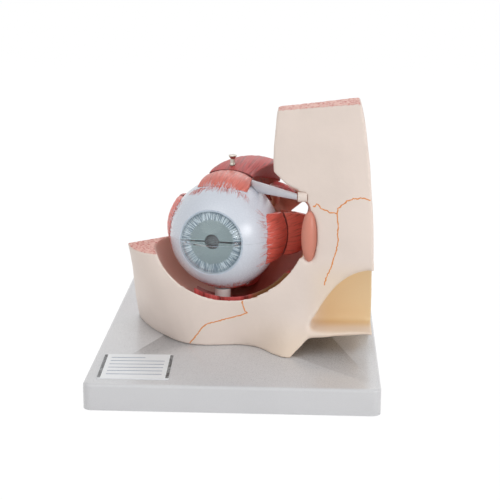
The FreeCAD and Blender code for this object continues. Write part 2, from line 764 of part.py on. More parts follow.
def nasal_opening():
    front_y = -plate_length / 2
    edge_points = [vec(x, front_y, z) for x, z in nasal_edge]
    first, last = edge_points[0], edge_points[-1]
    corners = [last, vec(beyond, front_y, last.z), vec(beyond, front_y, nasal_floor),
               vec(first.x, front_y, nasal_floor), first]
    lines = [Part.makeLine(corners[i], corners[i + 1]) for i in range(len(corners) - 1)]
    outline = Part.Wire([spline_edge(edge_points)] + lines)
    return Part.Face(outline).extrude(vec(0, nasal_depth_y - front_y, 0))


def nasal_undercut():
    points = nasal_underside + [(nasal_underside[-1][0], 0.0), (nasal_underside[0][0], 0.0)]
    return prism(points, -plate_length / 2, nasal_underside_depth_y)


def window():
    outline = [vec(x, window_front_y, z) for x, z in window_outline]
    face = Part.Face(Part.makePolygon(outline + outline[:1]))
    return face.extrude(vec(-window_depth * window_drift, window_depth, -window_depth * window_slope))


def sac_body(extra):
    """Spheroid about a vertical axis."""
    arc = Part.Ellipse(vec(0, 0, 0), sac_half_height + extra, sac_radius + extra)
    arc.Axis = Vector(0, -1, 0)
    arc.XAxis = Vector(0, 0, 1)
    half = Part.Arc(arc, 0, math.pi).toShape()
    chord = Part.makeLine(half.Vertexes[-1].Point, half.Vertexes[0].Point)
    body = Part.Face(Part.Wire([half, chord])).revolve(vec(0, 0, 0), Vector(0, 0, 1), 360)
    body.translate(sac_centre)
    return body


def trochlea():
    start = tendon_end + Vector(seam_gap, 0, 0)
    return rod(trochlea_radius, start, start + Vector(trochlea_length, 0, 0))


def support_place():
    return eye_point(0, -support_forward, 0)


def support_peg():
    place = support_place()
    top = eye_centre.z - eye_radius - layer_gap
    return rod(support_radius, (place.x, place.y, floor_height() - support_depth), (place.x, place.y, top))


def floor_height():
    """Height of the orbit's floor under the eyeball."""
    section = cavity_sections[2]
    return section[2] - section[4] - eye_radius


def orbit_bone():
    body = lower_block().multiFuse([column(), nasal_wall(), apex_ring()])
    start, end = nerve_path()
    cuts = tendon_way() + screw_holes(0, plate_top + screw_depth_in_bone + overlap)
    cuts += [cavity(0.0), cavity_mouth(), nasal_opening(), nasal_undercut(), window(), sac_body(seat_gap)]
    cuts.append(Part.makeSphere(nose_hollow_radius, nose_hollow_centre))
    cuts.append(rod(nerve_radius + canal_clearance, start, end + (end - start)))
    cuts.append(rod(foramen_radius, foramen_centre, foramen_centre + Vector(0, foramen_depth, foramen_rise)))
    cuts.append(rod(trochlea_radius + seat_gap, tendon_end + Vector(seam_gap - trochlea_recess_reach, 0, 0),
                    tendon_end + Vector(seam_gap + trochlea_length + seat_gap, 0, 0)))
    place = support_place()
    cuts.append(rod(support_radius + seat_gap, (place.x, place.y, floor_height() - support_depth - seat_gap),
                    (place.x, place.y, eye_centre.z)))
    body = body.cut(cuts)
    return max(body.Solids, key=lambda s: s.Volume)


# ---------------------------------------------------------------- lock pin
def pin_seat():
    place = eye_point(0, pin_distance, 0)
    return Vector(place.x, place.y, eye_centre.z + rectus_seam_radius + pin_seat_rise)


def lock_pin():
    seat = pin_seat()
    flange_top = seat.z + pin_height
    profile = [(0, seat.z - pin_shank_length), (pin_shank_radius, seat.z - pin_shank_length),
               (pin_shank_radius, seat.z), (pin_base_radius, seat.z),
               (pin_base_radius, seat.z + pin_base_thickness),
               (pin_waist_radius, seat.z + pin_base_thickness + pin_base_taper),
               (pin_waist_radius, flange_top - pin_flange_thickness - pin_flange_taper),
               (pin_flange_radius, flange_top - pin_flange_thickness),
               (pin_flange_radius, flange_top - pin_chamfer), (pin_flange_radius - pin_chamfer, flange_top),
               (0, flange_top)]
    wire = Part.makePolygon([vec(x, 0, z) for x, z in profile + profile[:1]])
    pin = Part.Face(wire).revolve(vec(0, 0, 0), Vector(0, 0, 1), 360)
    pin.translate(vec(seat.x, seat.y, 0))
    return pin


# ---------------------------------------------------------------- the model
def build():
    nodes = {}
    nodes["base_plate"] = base_plate()
    nodes["foot_pads"] = Part.makeCompound(foot_pads())
    nodes["base_screws"] = Part.makeCompound(screws())
    nodes["label_card"] = label_card()

    bone = orbit_bone()
    nodes["orbit_bone"] = bone
    nodes["lacrimal_sac"] = sac_body(0.0)
    nodes["trochlea"] = trochlea()
    nodes["support_peg"] = support_peg()
    nodes["optic_nerve"] = optic_nerve()

    arch = rectus_belly(superior_stations, superior_turn, superior_width)
    seat = pin_seat()
    reach = Vector(0, 0, 2 * pin_height)
    hole_end = seat - Vector(0, 0, pin_shank_length + layer_gap)
    arch = arch.cut([rod(pin_base_radius + pin_recess_clearance, seat, seat + reach),
                     rod(pin_shank_radius + seat_gap, hole_end, seat + reach)])
    nodes["superior_rectus_belly"] = arch
    nodes["medial_rectus_belly"] = rectus_belly(medial_stations, medial_turn, medial_width)
    nodes["lateral_rectus_belly"] = rectus_belly(lateral_stations, lateral_turn, lateral_width)
    nodes["inferior_rectus_belly"] = rectus_belly(inferior_stations, inferior_turn, inferior_width)
    nodes["superior_oblique_belly"] = superior_oblique_belly()
    nodes["inferior_oblique"] = inferior_oblique()
    nodes["lock_pin"] = lock_pin()

    whole = sclera()
    guide_holes = peg_holes(peg_clearance, -half_gap, peg_stand_up + layer_gap)
    nodes["sclera_upper"] = place_eye(upper(whole, half_gap).cut(guide_holes))
    fixed_holes = peg_holes(peg_fit, -peg_depth - peg_fit, half_gap)
    nodes["sclera_lower"] = place_eye(lower(whole, half_gap).cut(fixed_holes))
    nodes["alignment_pegs"] = place_eye(Part.makeCompound(alignment_pegs()))
    whole = cornea()
    nodes["cornea_upper"] = place_eye(upper(whole, window_half_gap))
    nodes["cornea_lower"] = place_eye(lower(whole, window_half_gap))
    whole = choroid()
    nodes["choroid_upper"] = place_eye(upper(whole, half_gap))
    nodes["choroid_lower"] = place_eye(lower(whole, half_gap))
    whole = iris()
    nodes["iris_upper"] = place_eye(upper(whole, window_half_gap))
    nodes["iris_lower"] = place_eye(lower(whole, window_half_gap))
    whole = retina()
    nodes["retina_upper"] = place_eye(upper(whole, half_gap))
    nodes["retina_lower"] = place_eye(lower(whole, half_gap))
    nodes["lens"] = place_eye(lens())
    nodes["vitreous_body"] = place_eye(vitreous())

    nodes["superior_rectus_stub"] = place_eye(rectus_stub(rectus_seam_radius, superior_width, superior_turn))
    medial = rectus_stub(rectus_seam_radius, medial_width, medial_turn)
    nodes["medial_rectus_stub_upper"] = place_eye(upper(medial, half_gap))
    nodes["medial_rectus_stub_lower"] = place_eye(lower(medial, half_gap))
    lateral = rectus_stub(rectus_seam_radius, lateral_width, lateral_turn)
    nodes["lateral_rectus_stub_upper"] = place_eye(upper(lateral, half_gap))
    nodes["lateral_rectus_stub_lower"] = place_eye(lower(lateral, half_gap))
    inferior = rectus_stub(inferior_seam_radius, inferior_width, inferior_turn)
    slot = support_radius + support_slot_clearance
    inferior = inferior.cut(box((-slot, -support_forward - slot, -2 * eye_radius), (slot, eye_radius, 0)))
    nodes["inferior_rectus_stub"] = place_eye(inferior)
    nodes["superior_oblique_tendon"] = superior_oblique_tendon()

    stump = rod(nerve_radius, (nerve_offset, eye_radius * nerve_root_share, 0),
                (nerve_offset, eye_radius + nerve_stump_length, 0))
    stump = stump.cut(ball(eye_radius + seat_gap))
    stump = stump.cut(rod(eye_radius + layer_gap, (0, 0, -half_gap), (0, 0, 2 * nerve_radius)))
    nodes["optic_nerve_stump"] = place_eye(stump)
    return nodes


os.makedirs("parts", exist_ok=True)
for node_name, node_shape in build().items():
    save(node_name, node_shape)
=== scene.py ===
"""Eye anatomy model: an eyeball that comes apart, in its bony orbit on a base plate.

Laid out as a Blender add-on.  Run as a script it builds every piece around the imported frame.
Sizes in the code are millimetres unless their name says otherwise; the scene is in metres.
The eyeball's own frame has its centre at the origin, +y back along the optic axis, +x to the nasal
side and +z up.
"""
import math
import random

import bmesh
import bpy
import numpy as np
from bpy.props import FloatProperty, FloatVectorProperty, IntProperty, PointerProperty
from mathutils import Matrix, Vector, noise
from mathutils.bvhtree import BVHTree


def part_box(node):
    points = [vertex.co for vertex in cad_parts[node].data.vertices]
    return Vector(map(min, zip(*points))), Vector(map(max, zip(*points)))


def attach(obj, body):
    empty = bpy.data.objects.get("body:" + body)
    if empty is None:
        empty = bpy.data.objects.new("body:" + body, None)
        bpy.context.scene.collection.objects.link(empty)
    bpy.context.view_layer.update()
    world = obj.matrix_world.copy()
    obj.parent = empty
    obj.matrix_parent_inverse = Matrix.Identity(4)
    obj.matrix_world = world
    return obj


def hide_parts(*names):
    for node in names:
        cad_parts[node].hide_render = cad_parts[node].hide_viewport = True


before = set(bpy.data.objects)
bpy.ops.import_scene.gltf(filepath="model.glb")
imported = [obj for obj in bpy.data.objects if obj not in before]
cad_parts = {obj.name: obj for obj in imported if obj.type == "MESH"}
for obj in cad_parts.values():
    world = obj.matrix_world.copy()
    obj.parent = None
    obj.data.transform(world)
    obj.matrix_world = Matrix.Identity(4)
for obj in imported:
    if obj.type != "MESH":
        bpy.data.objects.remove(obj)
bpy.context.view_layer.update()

bl_info = {
    "name": "Eye Anatomy Model",
    "version": (1, 0, 0),
    "blender": (4, 5, 0),
    "location": "3D View > Sidebar > Eye Model",
    "description": "Builds a take-apart eyeball in its orbit on a base plate",
    "category": "Object",
}

# ---------------------------------------------------------------- sizes shared with the solids, in mm
MM = 0.001
EYE_CENTRE = Vector((-10.4, -25.2, 89.4))
EYE_YAW = math.radians(14.0)
EYE_FRAME = Matrix.Translation(EYE_CENTRE) @ Matrix.Rotation(-EYE_YAW, 4, "Z")
EYE_RADIUS = 36.8
SCLERA_THICKNESS = 3.2
LIMBUS_RADIUS = 21.8
LIMBUS_LAND = 1.2
LIMBUS_Y = -math.sqrt(EYE_RADIUS ** 2 - LIMBUS_RADIUS ** 2)
CORNEA_BULGE = 10.0
CORNEA_THICKNESS = 2.2
CORNEA_RADIUS = (LIMBUS_RADIUS ** 2 + CORNEA_BULGE ** 2) / (2 * CORNEA_BULGE)
IRIS_FRONT_Y = LIMBUS_Y + 1.3
IRIS_THICKNESS = 1.2
IRIS_RADIUS = 20.3
PUPIL_RADIUS = 4.9
INSERTION_ANGLE = 65.0
RECTUS_FLARE = 3.0
PLATE_TOP = 17.5
CHEEK_TOP = 80.3
COLUMN_LID_MIDDLE = (51.3, 179.4)
COLUMN_LID_TILT = math.radians(7.8)
OUTER_CUT = [(-76.0, -19.5, 78.0), (-51.3, 2.1, 78.0), (-75.0, 24.0, 17.5)]
SAC_CENTRE = Vector((46.2, -56.3, 95.0))
SAC_RADIUS = 5.2
SAC_HALF_HEIGHT = 16.8

# Halves of the eyeball: name, side of the middle, body of the outer shell, body of the inner coats.
HALVES = (("upper", 1, "upper_shell", "upper_choroid"), ("lower", -1, "lower_shell", "lower_choroid"))

# Muscle ends on the eyeball: node, body, turn about the optic axis, width, half they lie in.
MUSCLE_ENDS = (
    ("superior_rectus_stub", "upper_shell", 2.0, 30.5, 1),
    ("medial_rectus_stub_upper", "upper_shell", 90.0, 29.5, 1),
    ("medial_rectus_stub_lower", "lower_shell", 90.0, 29.5, -1),
    ("lateral_rectus_stub_upper", "upper_shell", -76.0, 24.5, 1),
    ("lateral_rectus_stub_lower", "lower_shell", -76.0, 24.5, -1),
    ("inferior_rectus_stub", "lower_shell", 180.0, 27.0, -1),
)

# ---------------------------------------------------------------- details of the dressed pieces, in mm
WELD_DISTANCE = 0.002
SLIVER_LENGTH = 0.001
# Gaps between the halves of the coat and of the window, and rise of the window's cut to the nasal side.
HALF_GAP = 0.1
WINDOW_GAP = 0.6
WINDOW_LIFT = 0.9
# Middle of the orbit's hollow, and how far its painted shade reaches along x, y and z.
ORBIT_MIDDLE = (0.0, -10.0, 92.0)
ORBIT_REACH = (60.0, 90.0, 60.0)
# Relief of the bone: depth, scale of its noise.
BONE_SWELL = (0.28, 0.06)
BONE_RIPPLE = (0.05, 0.45)
BONE_PITS = (0.35, 0.55)
# Zones of the bone: spans along x, y and z, each from where it starts to where it is full.
NOSE_RIM = ((40, 50), (-30, -44), (22, 32))
NOSE_RIM_ENDS = ((87.0, 84.5), None, (88, 78))
OLIVE_RIM = ((0, 14), (-40, -46), (88, 82))
MAROON_WALL = ((-2, 8), (-47, -42), (84, 74))
WARM_NOSE = ((40, 62), (-10, -30), (84, 66))
PALE_NOSE_FRONT = (None, (-42, -58), None)
WARM_JAW = ((-10, 40), None, (48, 18))
WARM_HOLLOW = ((60, 80), (-42, -30), (110, 90))
# Strength of the painted shade in the orbit's hollow, and share of the grain in the bone's painted relief.
HOLLOW_SHADE_STRENGTH = 0.9
BONE_GRAIN = 0.12
# Steps along the sac, and corners round each turned piece or over each half of it.
SAC_STEPS = 48
SAC_CORNERS = 72
PIN_CORNERS = 64
COAT_CORNERS = 128
WINDOW_CORNERS = 96
IRIS_CORNERS = 240
# Folds of the iris and the step down to its outer zone: depth, and radii between which they rise.
IRIS_FOLDS = 92
IRIS_FOLD_DEPTH = 0.07
IRIS_FOLD_RISE = (14.0, 15.5)
IRIS_STEP_DEPTH = 0.08
IRIS_STEP_RISE = (13.8, 14.8)
IRIS_RIM = 0.3
# Card, with a dark band at either end and ruled lines that count from its back edge.
CARD_LENGTH = 45.0
CARD_WIDTH = 47.0
CARD_THICKNESS = 0.6
CARD_CORNER = 1.2
CARD_TURN = math.radians(1.5)
BAND_WIDTH = 2.2
RULES = 6
FIRST_RULE = 7.0
FIRST_RULE_MARGIN = 18.0
RULE_MARGIN = 5.0
RULE_STEP = 6.4
RULE_HALF = 0.35
INK_RISE = (-0.01, 0.03)
INK_CORNER = 0.3
# Strands in the tufts of the muscle ends.
STRAND_STEPS = 8
STRAND_SINK = 0.12
STRAND_CLEARANCE = 0.5
STRAND_DRIFT = 2.2
STRAND_SPREAD = 0.12
STRAND_BOW = 0.6
# Red strands on the coat and white ones on the muscle: start and end in degrees off the seam, width.
RED_START, RED_END, RED_WIDTH = (0.5, 4.0), (2.0, 11.0), (0.25, 0.55)
WHITE_START, WHITE_END, WHITE_WIDTH = (0.0, 2.0), (3.0, 12.0), (0.35, 0.95)
RED_THICKNESS = 0.13
WHITE_THICKNESS = 0.10
# Painted sutures: step along them, and how far they stray from their line.
SUTURE_STEP = 0.5
SUTURE_WANDER = 0.45
# Section of a suture's ribbon: share of its half width, rise over the bone.
SUTURE_SECTION = ((-1.0, -0.25), (-0.8, 0.04), (0.0, 0.12), (0.8, 0.04), (1.0, -0.25))

# Outline of the lock pin from its foot up: radius, height from its top.
PIN_PROFILE = [
    (0.0, -11.3), (0.85, -11.3), (1.1, -11.0), (1.1, -7.1), (1.75, -7.1), (1.9, -6.95), (1.9, -6.2),
    (1.8, -6.0), (1.62, -5.65), (1.55, -5.4), (1.5, -4.4), (1.53, -3.0), (1.6, -2.35), (1.95, -1.85),
    (2.45, -1.3), (2.66, -1.0), (2.7, -0.85), (2.7, -0.3), (2.6, -0.1), (2.4, 0.0), (1.2, -0.04),
    (0.0, -0.05)]

# Where the bones of the face meet, as (x, z) on the front.
SUTURES = {
    "cheek": [
        (4.2, 52.4), (3.0, 50.6), (2.7, 48.6), (3.7, 45.7), (4.5, 42.9), (6.1, 41.7), (1.3, 39.6),
        (-3.0, 38.4), (-8.8, 36.8), (-14.6, 35.0), (-19.5, 33.7), (-22.3, 32.0), (-24.5, 29.8),
        (-26.0, 27.1), (-27.7, 24.9), (-29.3, 22.6), (-31.6, 19.7), (-32.6, 18.2)],
    "lacrimal": [
        (48.3, 115.4), (49.6, 115.2), (50.6, 116.9), (51.9, 116.4), (53.2, 114.5), (55.1, 113.5),
        (57.4, 113.3), (59.3, 111.8), (61.8, 112.3), (63.8, 111.7)],
    "brow": [
        (63.8, 111.7), (64.3, 115.2), (65.9, 116.4), (67.1, 118.0), (68.8, 118.8), (69.6, 120.5),
        (71.8, 120.9), (73.7, 122.3), (76.2, 122.1), (78.4, 123.1), (81.2, 122.8), (84.6, 121.7)],
    "nose": [
        (63.8, 111.7), (64.2, 107.7), (64.8, 103.1), (64.3, 98.5), (64.9, 94.6), (64.1, 89.3), (63.4, 85.9),
        (62.1, 81.9), (60.9, 77.2), (59.6, 73.8), (58.1, 70.5), (56.9, 66.8), (56.5, 64.6)],
}

# ---------------------------------------------------------------- finishes and light
# Painted finishes: a value for each of these sockets, then the depth of the relief in mm.
PAINT_SOCKETS = ("Patch Scale", "Patch Amount", "Grain Scale", "Smoothest", "Roughest")
PAINTS = {
    "bone_paint": (0.035, 0.55, 1.1, 0.42, 0.56, 0.35),
    "moulded_plastic": (0.03, 0.6, 2.2, 0.24, 0.34, 0.006),
    "pad_rubber": (0.3, 0.6, 3.0, 0.6, 0.8, 0.05),
    "screw_steel": (0.5, 0.6, 4.0, 0.25, 0.4, 0.01),
    "card_face": (0.08, 0.5, 2.5, 0.3, 0.42, 0.01),
    "card_ink": (0.4, 0.6, 3.0, 0.45, 0.6, 0.01),
    "card_end": (0.42, 0.9, 3.0, 0.3, 0.5, 0.02),
    "suture_paint": (0.5, 0.6, 3.0, 0.5, 0.65, 0.02),
    "sac_paint": (0.12, 0.6, 1.8, 0.38, 0.5, 0.03),
    "pulley_paint": (0.2, 0.6, 1.5, 0.42, 0.56, 0.02),
    "peg_plastic": (0.2, 0.6, 2.0, 0.35, 0.5, 0.02),
    "nickel": (0.6, 0.6, 4.0, 0.16, 0.28, 0.006),
    "sclera_paint": (0.05, 0.5, 1.4, 0.22, 0.32, 0.012),
    "peg_steel": (0.6, 0.6, 4.0, 0.2, 0.3, 0.006),
    "strand_paint": (0.5, 0.6, 3.0, 0.4, 0.5, 0.02),
    "pale_strand_paint": (0.5, 0.35, 3.0, 0.35, 0.5, 0.02),
    "tendon_paint": (0.15, 0.5, 1.6, 0.28, 0.4, 0.03),
    "nerve_paint": (0.3, 0.6, 1.6, 0.4, 0.52, 0.05),
}
# Muscle finishes: thread amount, scale of the strands across and along, gloss.
FIBRES = {
    "fixed_muscle_paint": (0.2, 34.0, 0.045, 0.06),
    "inner_muscle_paint": (0.4, 34.0, 0.045, 0.25),
    "sling_muscle_paint": (0.3, 3.0, 1.1, 0.1),
    "eye_muscle_paint": (0.55, 36.0, 0.06, 0.25),
    "upper_end_paint": (0.7, 36.0, 0.06, 0.25),
}
FIBRE_RELIEF = 0.12
# Clear plastics: tint, roughness, index of refraction, clearness.
CLEAR_PLASTICS = {
    "cornea_plastic": ((0.93, 0.96, 0.98, 1.0), 0.04, 1.30, 1.0),
    "lens_plastic": ((0.60, 0.64, 0.66, 1.0), 0.05, 1.42, 0.8),
    "vitreous_plastic": ((0.94, 0.97, 0.98, 1.0), 0.03, 1.25, 1.0),
}
# Inner coats: node, piece, scale and width of the painted vessels.
INNER_COATS = (("choroid", "middle_coat", 0.16, 0.055), ("retina", "retina_lining", 0.10, 0.035))
# Lamps: place and width in metres, power in watts.
LAMPS = {
    "key_lamp": ((-0.5, -1.0, 1.15), 1.6, 6.0),
    "fill_lamp": ((0.92, -0.79, 0.38), 0.5, 3.8),
    "back_lamp": ((0.1, 0.9, 0.9), 0.8, 2.6),
}
LAMP_AIM = Vector((0.0, 0.0, 0.09))
ROOM_LIGHT = 0.58
# Camera: place in metres, turns in radians, lens and sensor in mm.
CAMERA_PLACE = (0.04754, -0.93758, 0.30950)
CAMERA_TURN = math.radians(2.575)
CAMERA_DROP = math.radians(14.251)
CAMERA_ROLL = math.radians(0.318)
CAMERA_LENS = 100.8
CAMERA_SENSOR = 36.0
# Floor: width in metres, its glow to the camera and the share of that glow.
FLOOR_SIZE = 12.0
FLOOR_GLOW = 1.05
FLOOR_GLOW_SHARE = 0.9


def rgb(red, green, blue):
    """Screen colour 0 to 255 as a linear colour."""
    def linear(value):
        share = value / 255.0
        return share / 12.92 if share <= 0.04045 else ((share + 0.055) / 1.055) ** 2.4
    return (linear(red), linear(green), linear(blue), 1.0)


def grey(value):
    return (value, value, value, 1.0)


def shade(value, factor):
    """A colour made darker or lighter."""
    return tuple(min(1.0, c * factor) for c in value[:3]) + (1.0,)


# ---------------------------------------------------------------- properties
def colour(name, text, value):
    return FloatVectorProperty(
        name=name, description=text, subtype="COLOR", size=4, min=0.0, max=1.0, default=value)


def length(name, text, value, low, high):
    return FloatProperty(name=name, description=text, default=value, min=low, max=high, unit="LENGTH")


def count(name, text, value):
    return IntProperty(name=name, description=text, default=value, min=0, max=200)


class EyeModelColours(bpy.types.PropertyGroup):
    """Paint and material colours of the model, and colours of painted shade."""
    bone: colour("Bone", "Main colour of the painted bone", rgb(231, 216, 206))
    bone_warm: colour("Warm bone", "Yellowish wash in the nose and over the mouth", rgb(230, 200, 156))
    bone_olive: colour("Olive bone", "Brown wash along the nasal rim of the orbit", rgb(178, 124, 78))
    bone_maroon: colour("Maroon bone", "Red brown wash under the eyeball", rgb(204, 112, 98))
    # Painted shade: brown over the bone inside the orbit's hollow, also laid on the upper oblique muscle
    # under the tendon.
    bone_hollow_shade: colour("Deep bone", "Brown wash inside the orbit", rgb(236, 176, 158))
    suture: colour("Suture", "Painted lines where bones meet", rgb(226, 146, 78))
    sponge_pale: colour("Sponge pale", "Pale ground of the cut bone", rgb(228, 174, 160))
    sponge_red: colour("Sponge red", "Red spots of the cut bone", rgb(196, 62, 58))
    sclera: colour("Sclera", "White coat of the eyeball", rgb(208, 214, 224))
    iris_dark: colour("Iris dark", "Ground of the iris's outer zone", rgb(112, 128, 138))
    iris_light: colour("Iris light", "Strokes of the iris's outer zone", rgb(200, 208, 212))
    iris_inner: colour("Iris inner", "Smooth inner zone of the iris", rgb(130, 142, 142))
    muscle_bright: colour("Muscle ends", "Muscle ends on the eyeball", rgb(224, 104, 90))
    muscle_salmon: colour("Upper muscle end", "Upper muscle end on the eyeball", rgb(208, 108, 94))
    muscle_inner: colour("Inner muscle", "Fixed part of the inner muscle", rgb(250, 140, 124))
    # Painted shade: darker red on the sling muscle behind its front edge and on its nasal side, and darker
    # still on the arch's flank.
    muscle_painted_shade: colour("Sling muscle", "Deep part of the muscle under the eyeball", rgb(192, 84, 78))
    muscle_pale: colour("Muscle strands", "Pale strands in the muscles", rgb(232, 150, 138))
    muscle_dusky: colour("Fixed muscles", "Muscles fixed in the orbit", rgb(192, 80, 78))
    muscle_dark: colour("Muscle shade", "Darkest strands of the muscles", rgb(120, 38, 36))
    tendon: colour("Tendon", "White strap of the upper oblique muscle", rgb(206, 206, 212))
    sac: colour("Tear sac", "Tear sac beside the nose", rgb(206, 130, 110))
    nerve: colour("Nerve", "Optic nerve", rgb(226, 204, 132))
    choroid: colour("Middle coat", "Middle coat of the eyeball", rgb(112, 46, 36))
    retina: colour("Retina", "Inner lining of the eyeball", rgb(226, 140, 92))
    vessel: colour("Vessels", "Painted vessels", rgb(176, 34, 30))
    plate: colour("Base plate", "Moulded base plate", rgb(206, 206, 208))
    card: colour("Card", "Card on the base plate", rgb(236, 238, 240))
    ink: colour("Ink", "Ruled lines of the card", rgb(70, 92, 128))
    nickel: colour("Nickel", "Plated pins", rgb(196, 188, 178))


class EyeModelSizes(bpy.types.PropertyGroup):
    """Sizes of detail that a user may change, in metres, and numbers of strands."""
    bone_step: length("Bone mesh", "Mesh width on the bone", 0.001, 0.0006, 0.003)
    muscle_step: length("Muscle mesh", "Mesh width on the muscles", 0.0006, 0.0004, 0.002)
    fibre_relief: length("Fibre relief", "Depth of the furrows between strands", 0.00018, 0.0, 0.0006)
    suture_width: length("Suture width", "Width of the painted sutures", 0.0012, 0.0004, 0.002)
    red_tufts: count("Red tufts", "Strands that run out from each muscle end", 90)
    white_tufts: count("White tufts", "Pale strands that run into each muscle end", 90)


# ---------------------------------------------------------------- mesh helpers
def eye_points(points):
    """Points of the eyeball's frame, in mm, as an array in the model's frame, in mm."""
    turned = np.array(points, float) @ np.array(EYE_FRAME.to_3x3()).T
    return turned + np.array(EYE_CENTRE)


def in_eye_frame(points):
    return (points - np.array(EYE_CENTRE)) @ np.array(EYE_FRAME.to_3x3())


def weld(piece, dissolve=False):
    """Joins the points of a mesh that fall together."""
    bm = bmesh.new()
    bm.from_mesh(piece.data)
    bmesh.ops.remove_doubles(bm, verts=bm.verts, dist=WELD_DISTANCE * MM)
    if dissolve:
        bmesh.ops.dissolve_degenerate(bm, edges=bm.edges, dist=SLIVER_LENGTH * MM)
        bmesh.ops.recalc_face_normals(bm, faces=bm.faces)
    bm.to_mesh(piece.data)
    bm.free()


def finish_piece(piece, body, slot, material, *replaced, crease=35.0):
    """Weld, shade, paint and hang a piece on its body."""
    weld(piece, dissolve=True)
    mesh = piece.data
    mesh.polygons.foreach_set("use_smooth", [True] * len(mesh.polygons))
    mesh.set_sharp_from_angle(angle=math.radians(crease))
    mesh.materials.clear()
    mesh.materials.append(material)
    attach(piece, body)
    if replaced:
        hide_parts(*replaced)


def new_object(name, points, faces):
    """Object of a mesh whose points are in mm in the model's frame."""
    mesh = bpy.data.meshes.new(name)
    mesh.from_pydata([tuple(p) for p in np.array(points, float) * MM], [], faces)
    piece = bpy.data.objects.new(name, mesh)
    bpy.context.scene.collection.objects.link(piece)
    return piece


def copy_of(node_name, name):
    """A welded copy of a solid's mesh, to be worked over."""
    piece = bpy.data.objects.new(name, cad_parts[node_name].data.copy())
    bpy.context.scene.collection.objects.link(piece)
    weld(piece)
    return piece


def apply_modifiers(piece):
    depsgraph = bpy.context.evaluated_depsgraph_get()
    mesh = bpy.data.meshes.new_from_object(piece.evaluated_get(depsgraph))
    piece.modifiers.clear()
    piece.vertex_groups.clear()
    piece.data = mesh
    return piece


def remesh(piece, step, passes):
    """Even quads over the piece, with its edges softened by a few smoothing passes."""
    grid = piece.modifiers.new("grid", "REMESH")
    grid.mode = "VOXEL"
    grid.voxel_size = step
    soften = piece.modifiers.new("soften", "SMOOTH")
    soften.factor = 0.5
    soften.iterations = passes
    return apply_modifiers(piece)


def copied_piece(node_name, name, body, slot, material):
    """A solid's own mesh dressed as a piece."""
    finish_piece(copy_of(node_name, name), body, slot, material, node_name)


def softened_piece(node_name, name, body, slot, material, step, passes, crease=70.0):
    """A solid's shape with softened edges, dressed as a piece."""
    piece = remesh(copy_of(node_name, name), step * MM, passes)
    finish_piece(piece, body, slot, material, node_name, crease=crease)


def points_of(piece):
    co = np.zeros(len(piece.data.vertices) * 3)
    piece.data.vertices.foreach_get("co", co)
    return co.reshape(-1, 3) / MM


def normals_of(piece):
    normal = np.zeros(len(piece.data.vertices) * 3)
    piece.data.vertices.foreach_get("normal", normal)
    return normal.reshape(-1, 3)


def set_points(piece, points):
    piece.data.vertices.foreach_set("co", (points * MM).ravel())
    piece.data.update()


def set_mask(piece, name, values):
    """Keeps a value from 0 to 1 at each point, for the piece's paint."""
    mask = piece.data.attributes.new(name, "FLOAT", "POINT")
    mask.data.foreach_set("value", np.clip(values, 0.0, 1.0).astype(np.float32))


def ramp(values, low, high):
    """0 up to low, 1 from high on, smooth between; high may be the smaller one."""
    share = np.clip((values - low) / (high - low), 0.0, 1.0)
    return share * share * (3.0 - 2.0 * share)


def noise_over(points, scale):
    return np.array([noise.noise(Vector(p) * scale) for p in points])


def closeness(points, surface, near, far):
    """1 where a point is nearer than near to a surface, 0 beyond far."""
    away = [surface.find_nearest(Vector(p) * MM, far * MM)[3] for p in points]
    return ramp(np.array([far if d is None else d / MM for d in away]), far, near)


def surface_of(*pieces):
    """Search tree over the meshes of pieces, in metres."""
    points, faces = [], []
    for piece in pieces:
        start = len(points)
        points += [v.co.copy() for v in piece.data.vertices]
        faces += [[start + i for i in p.vertices] for p in piece.data.polygons]
    return BVHTree.FromPolygons(points, faces)


def furrow(piece, depth, across, along):
    """Furrows between strands that run along the optic axis."""
    points = points_of(piece)
    local = in_eye_frame(points)
    radius = np.maximum(np.hypot(local[:, 0], local[:, 2]), 1e-6)
    path = np.stack([local[:, 0] / radius * across, local[:, 1] * along, local[:, 2] / radius * across], 1)
    relief = depth * (noise_over(path, 0.62) + 0.5 * noise_over(path, 1.3))
    set_points(piece, points + normals_of(piece) * np.minimum(relief, 0.6 * depth)[:, None])


def arc(radius, centre, start, end, steps):
    """Points (y, r) of an arc about a centre on the optic axis, by angle from the forward direction."""
    found = []
    for i in range(steps + 1):
        angle = math.radians(start + (end - start) * i / steps)
        found.append((centre - radius * math.cos(angle), radius * math.sin(angle)))
    return found


def revolved_half(name, profile, side, gap, steps, lift=0.0):
    """Upper (side 1) or lower (side -1) half of a body of revolution about the optic axis.

    Its cut face lies half the gap from the middle and rises by lift towards the nasal side.
    """
    points, faces = [], []
    corners = len(profile)
    for i in range(steps + 1):
        angle = math.pi * i / steps
        for y, r in profile:
            x = r * math.cos(angle)
            cut = gap / 2 + lift * (0.5 + x / (2 * IRIS_RADIUS))
            points.append((x, y, side * max(r * math.sin(angle), cut)))
    for i in range(steps):
        for j in range(corners):
            k = (j + 1) % corners
            faces.append((i * corners + j, (i + 1) * corners + j, (i + 1) * corners + k, i * corners + k))
    faces.append(tuple(range(corners)))
    faces.append(tuple(range(steps * corners, (steps + 1) * corners)))
    return new_object(name, eye_points(points), faces)


def revolved(profile, steps, place):
    """Points and faces of a body of revolution about +Z through place; profile is (radius, height)."""
    points, faces = [], []
    corners = len(profile)
    for i in range(steps):
        angle = 2 * math.pi * i / steps
        for r, z in profile:
            points.append((place[0] + r * math.cos(angle), place[1] + r * math.sin(angle), place[2] + z))
    for i in range(steps):
        n = (i + 1) % steps
        for j in range(corners - 1):
            faces.append((i * corners + j, n * corners + j, n * corners + j + 1, i * corners + j + 1))
    return points, faces


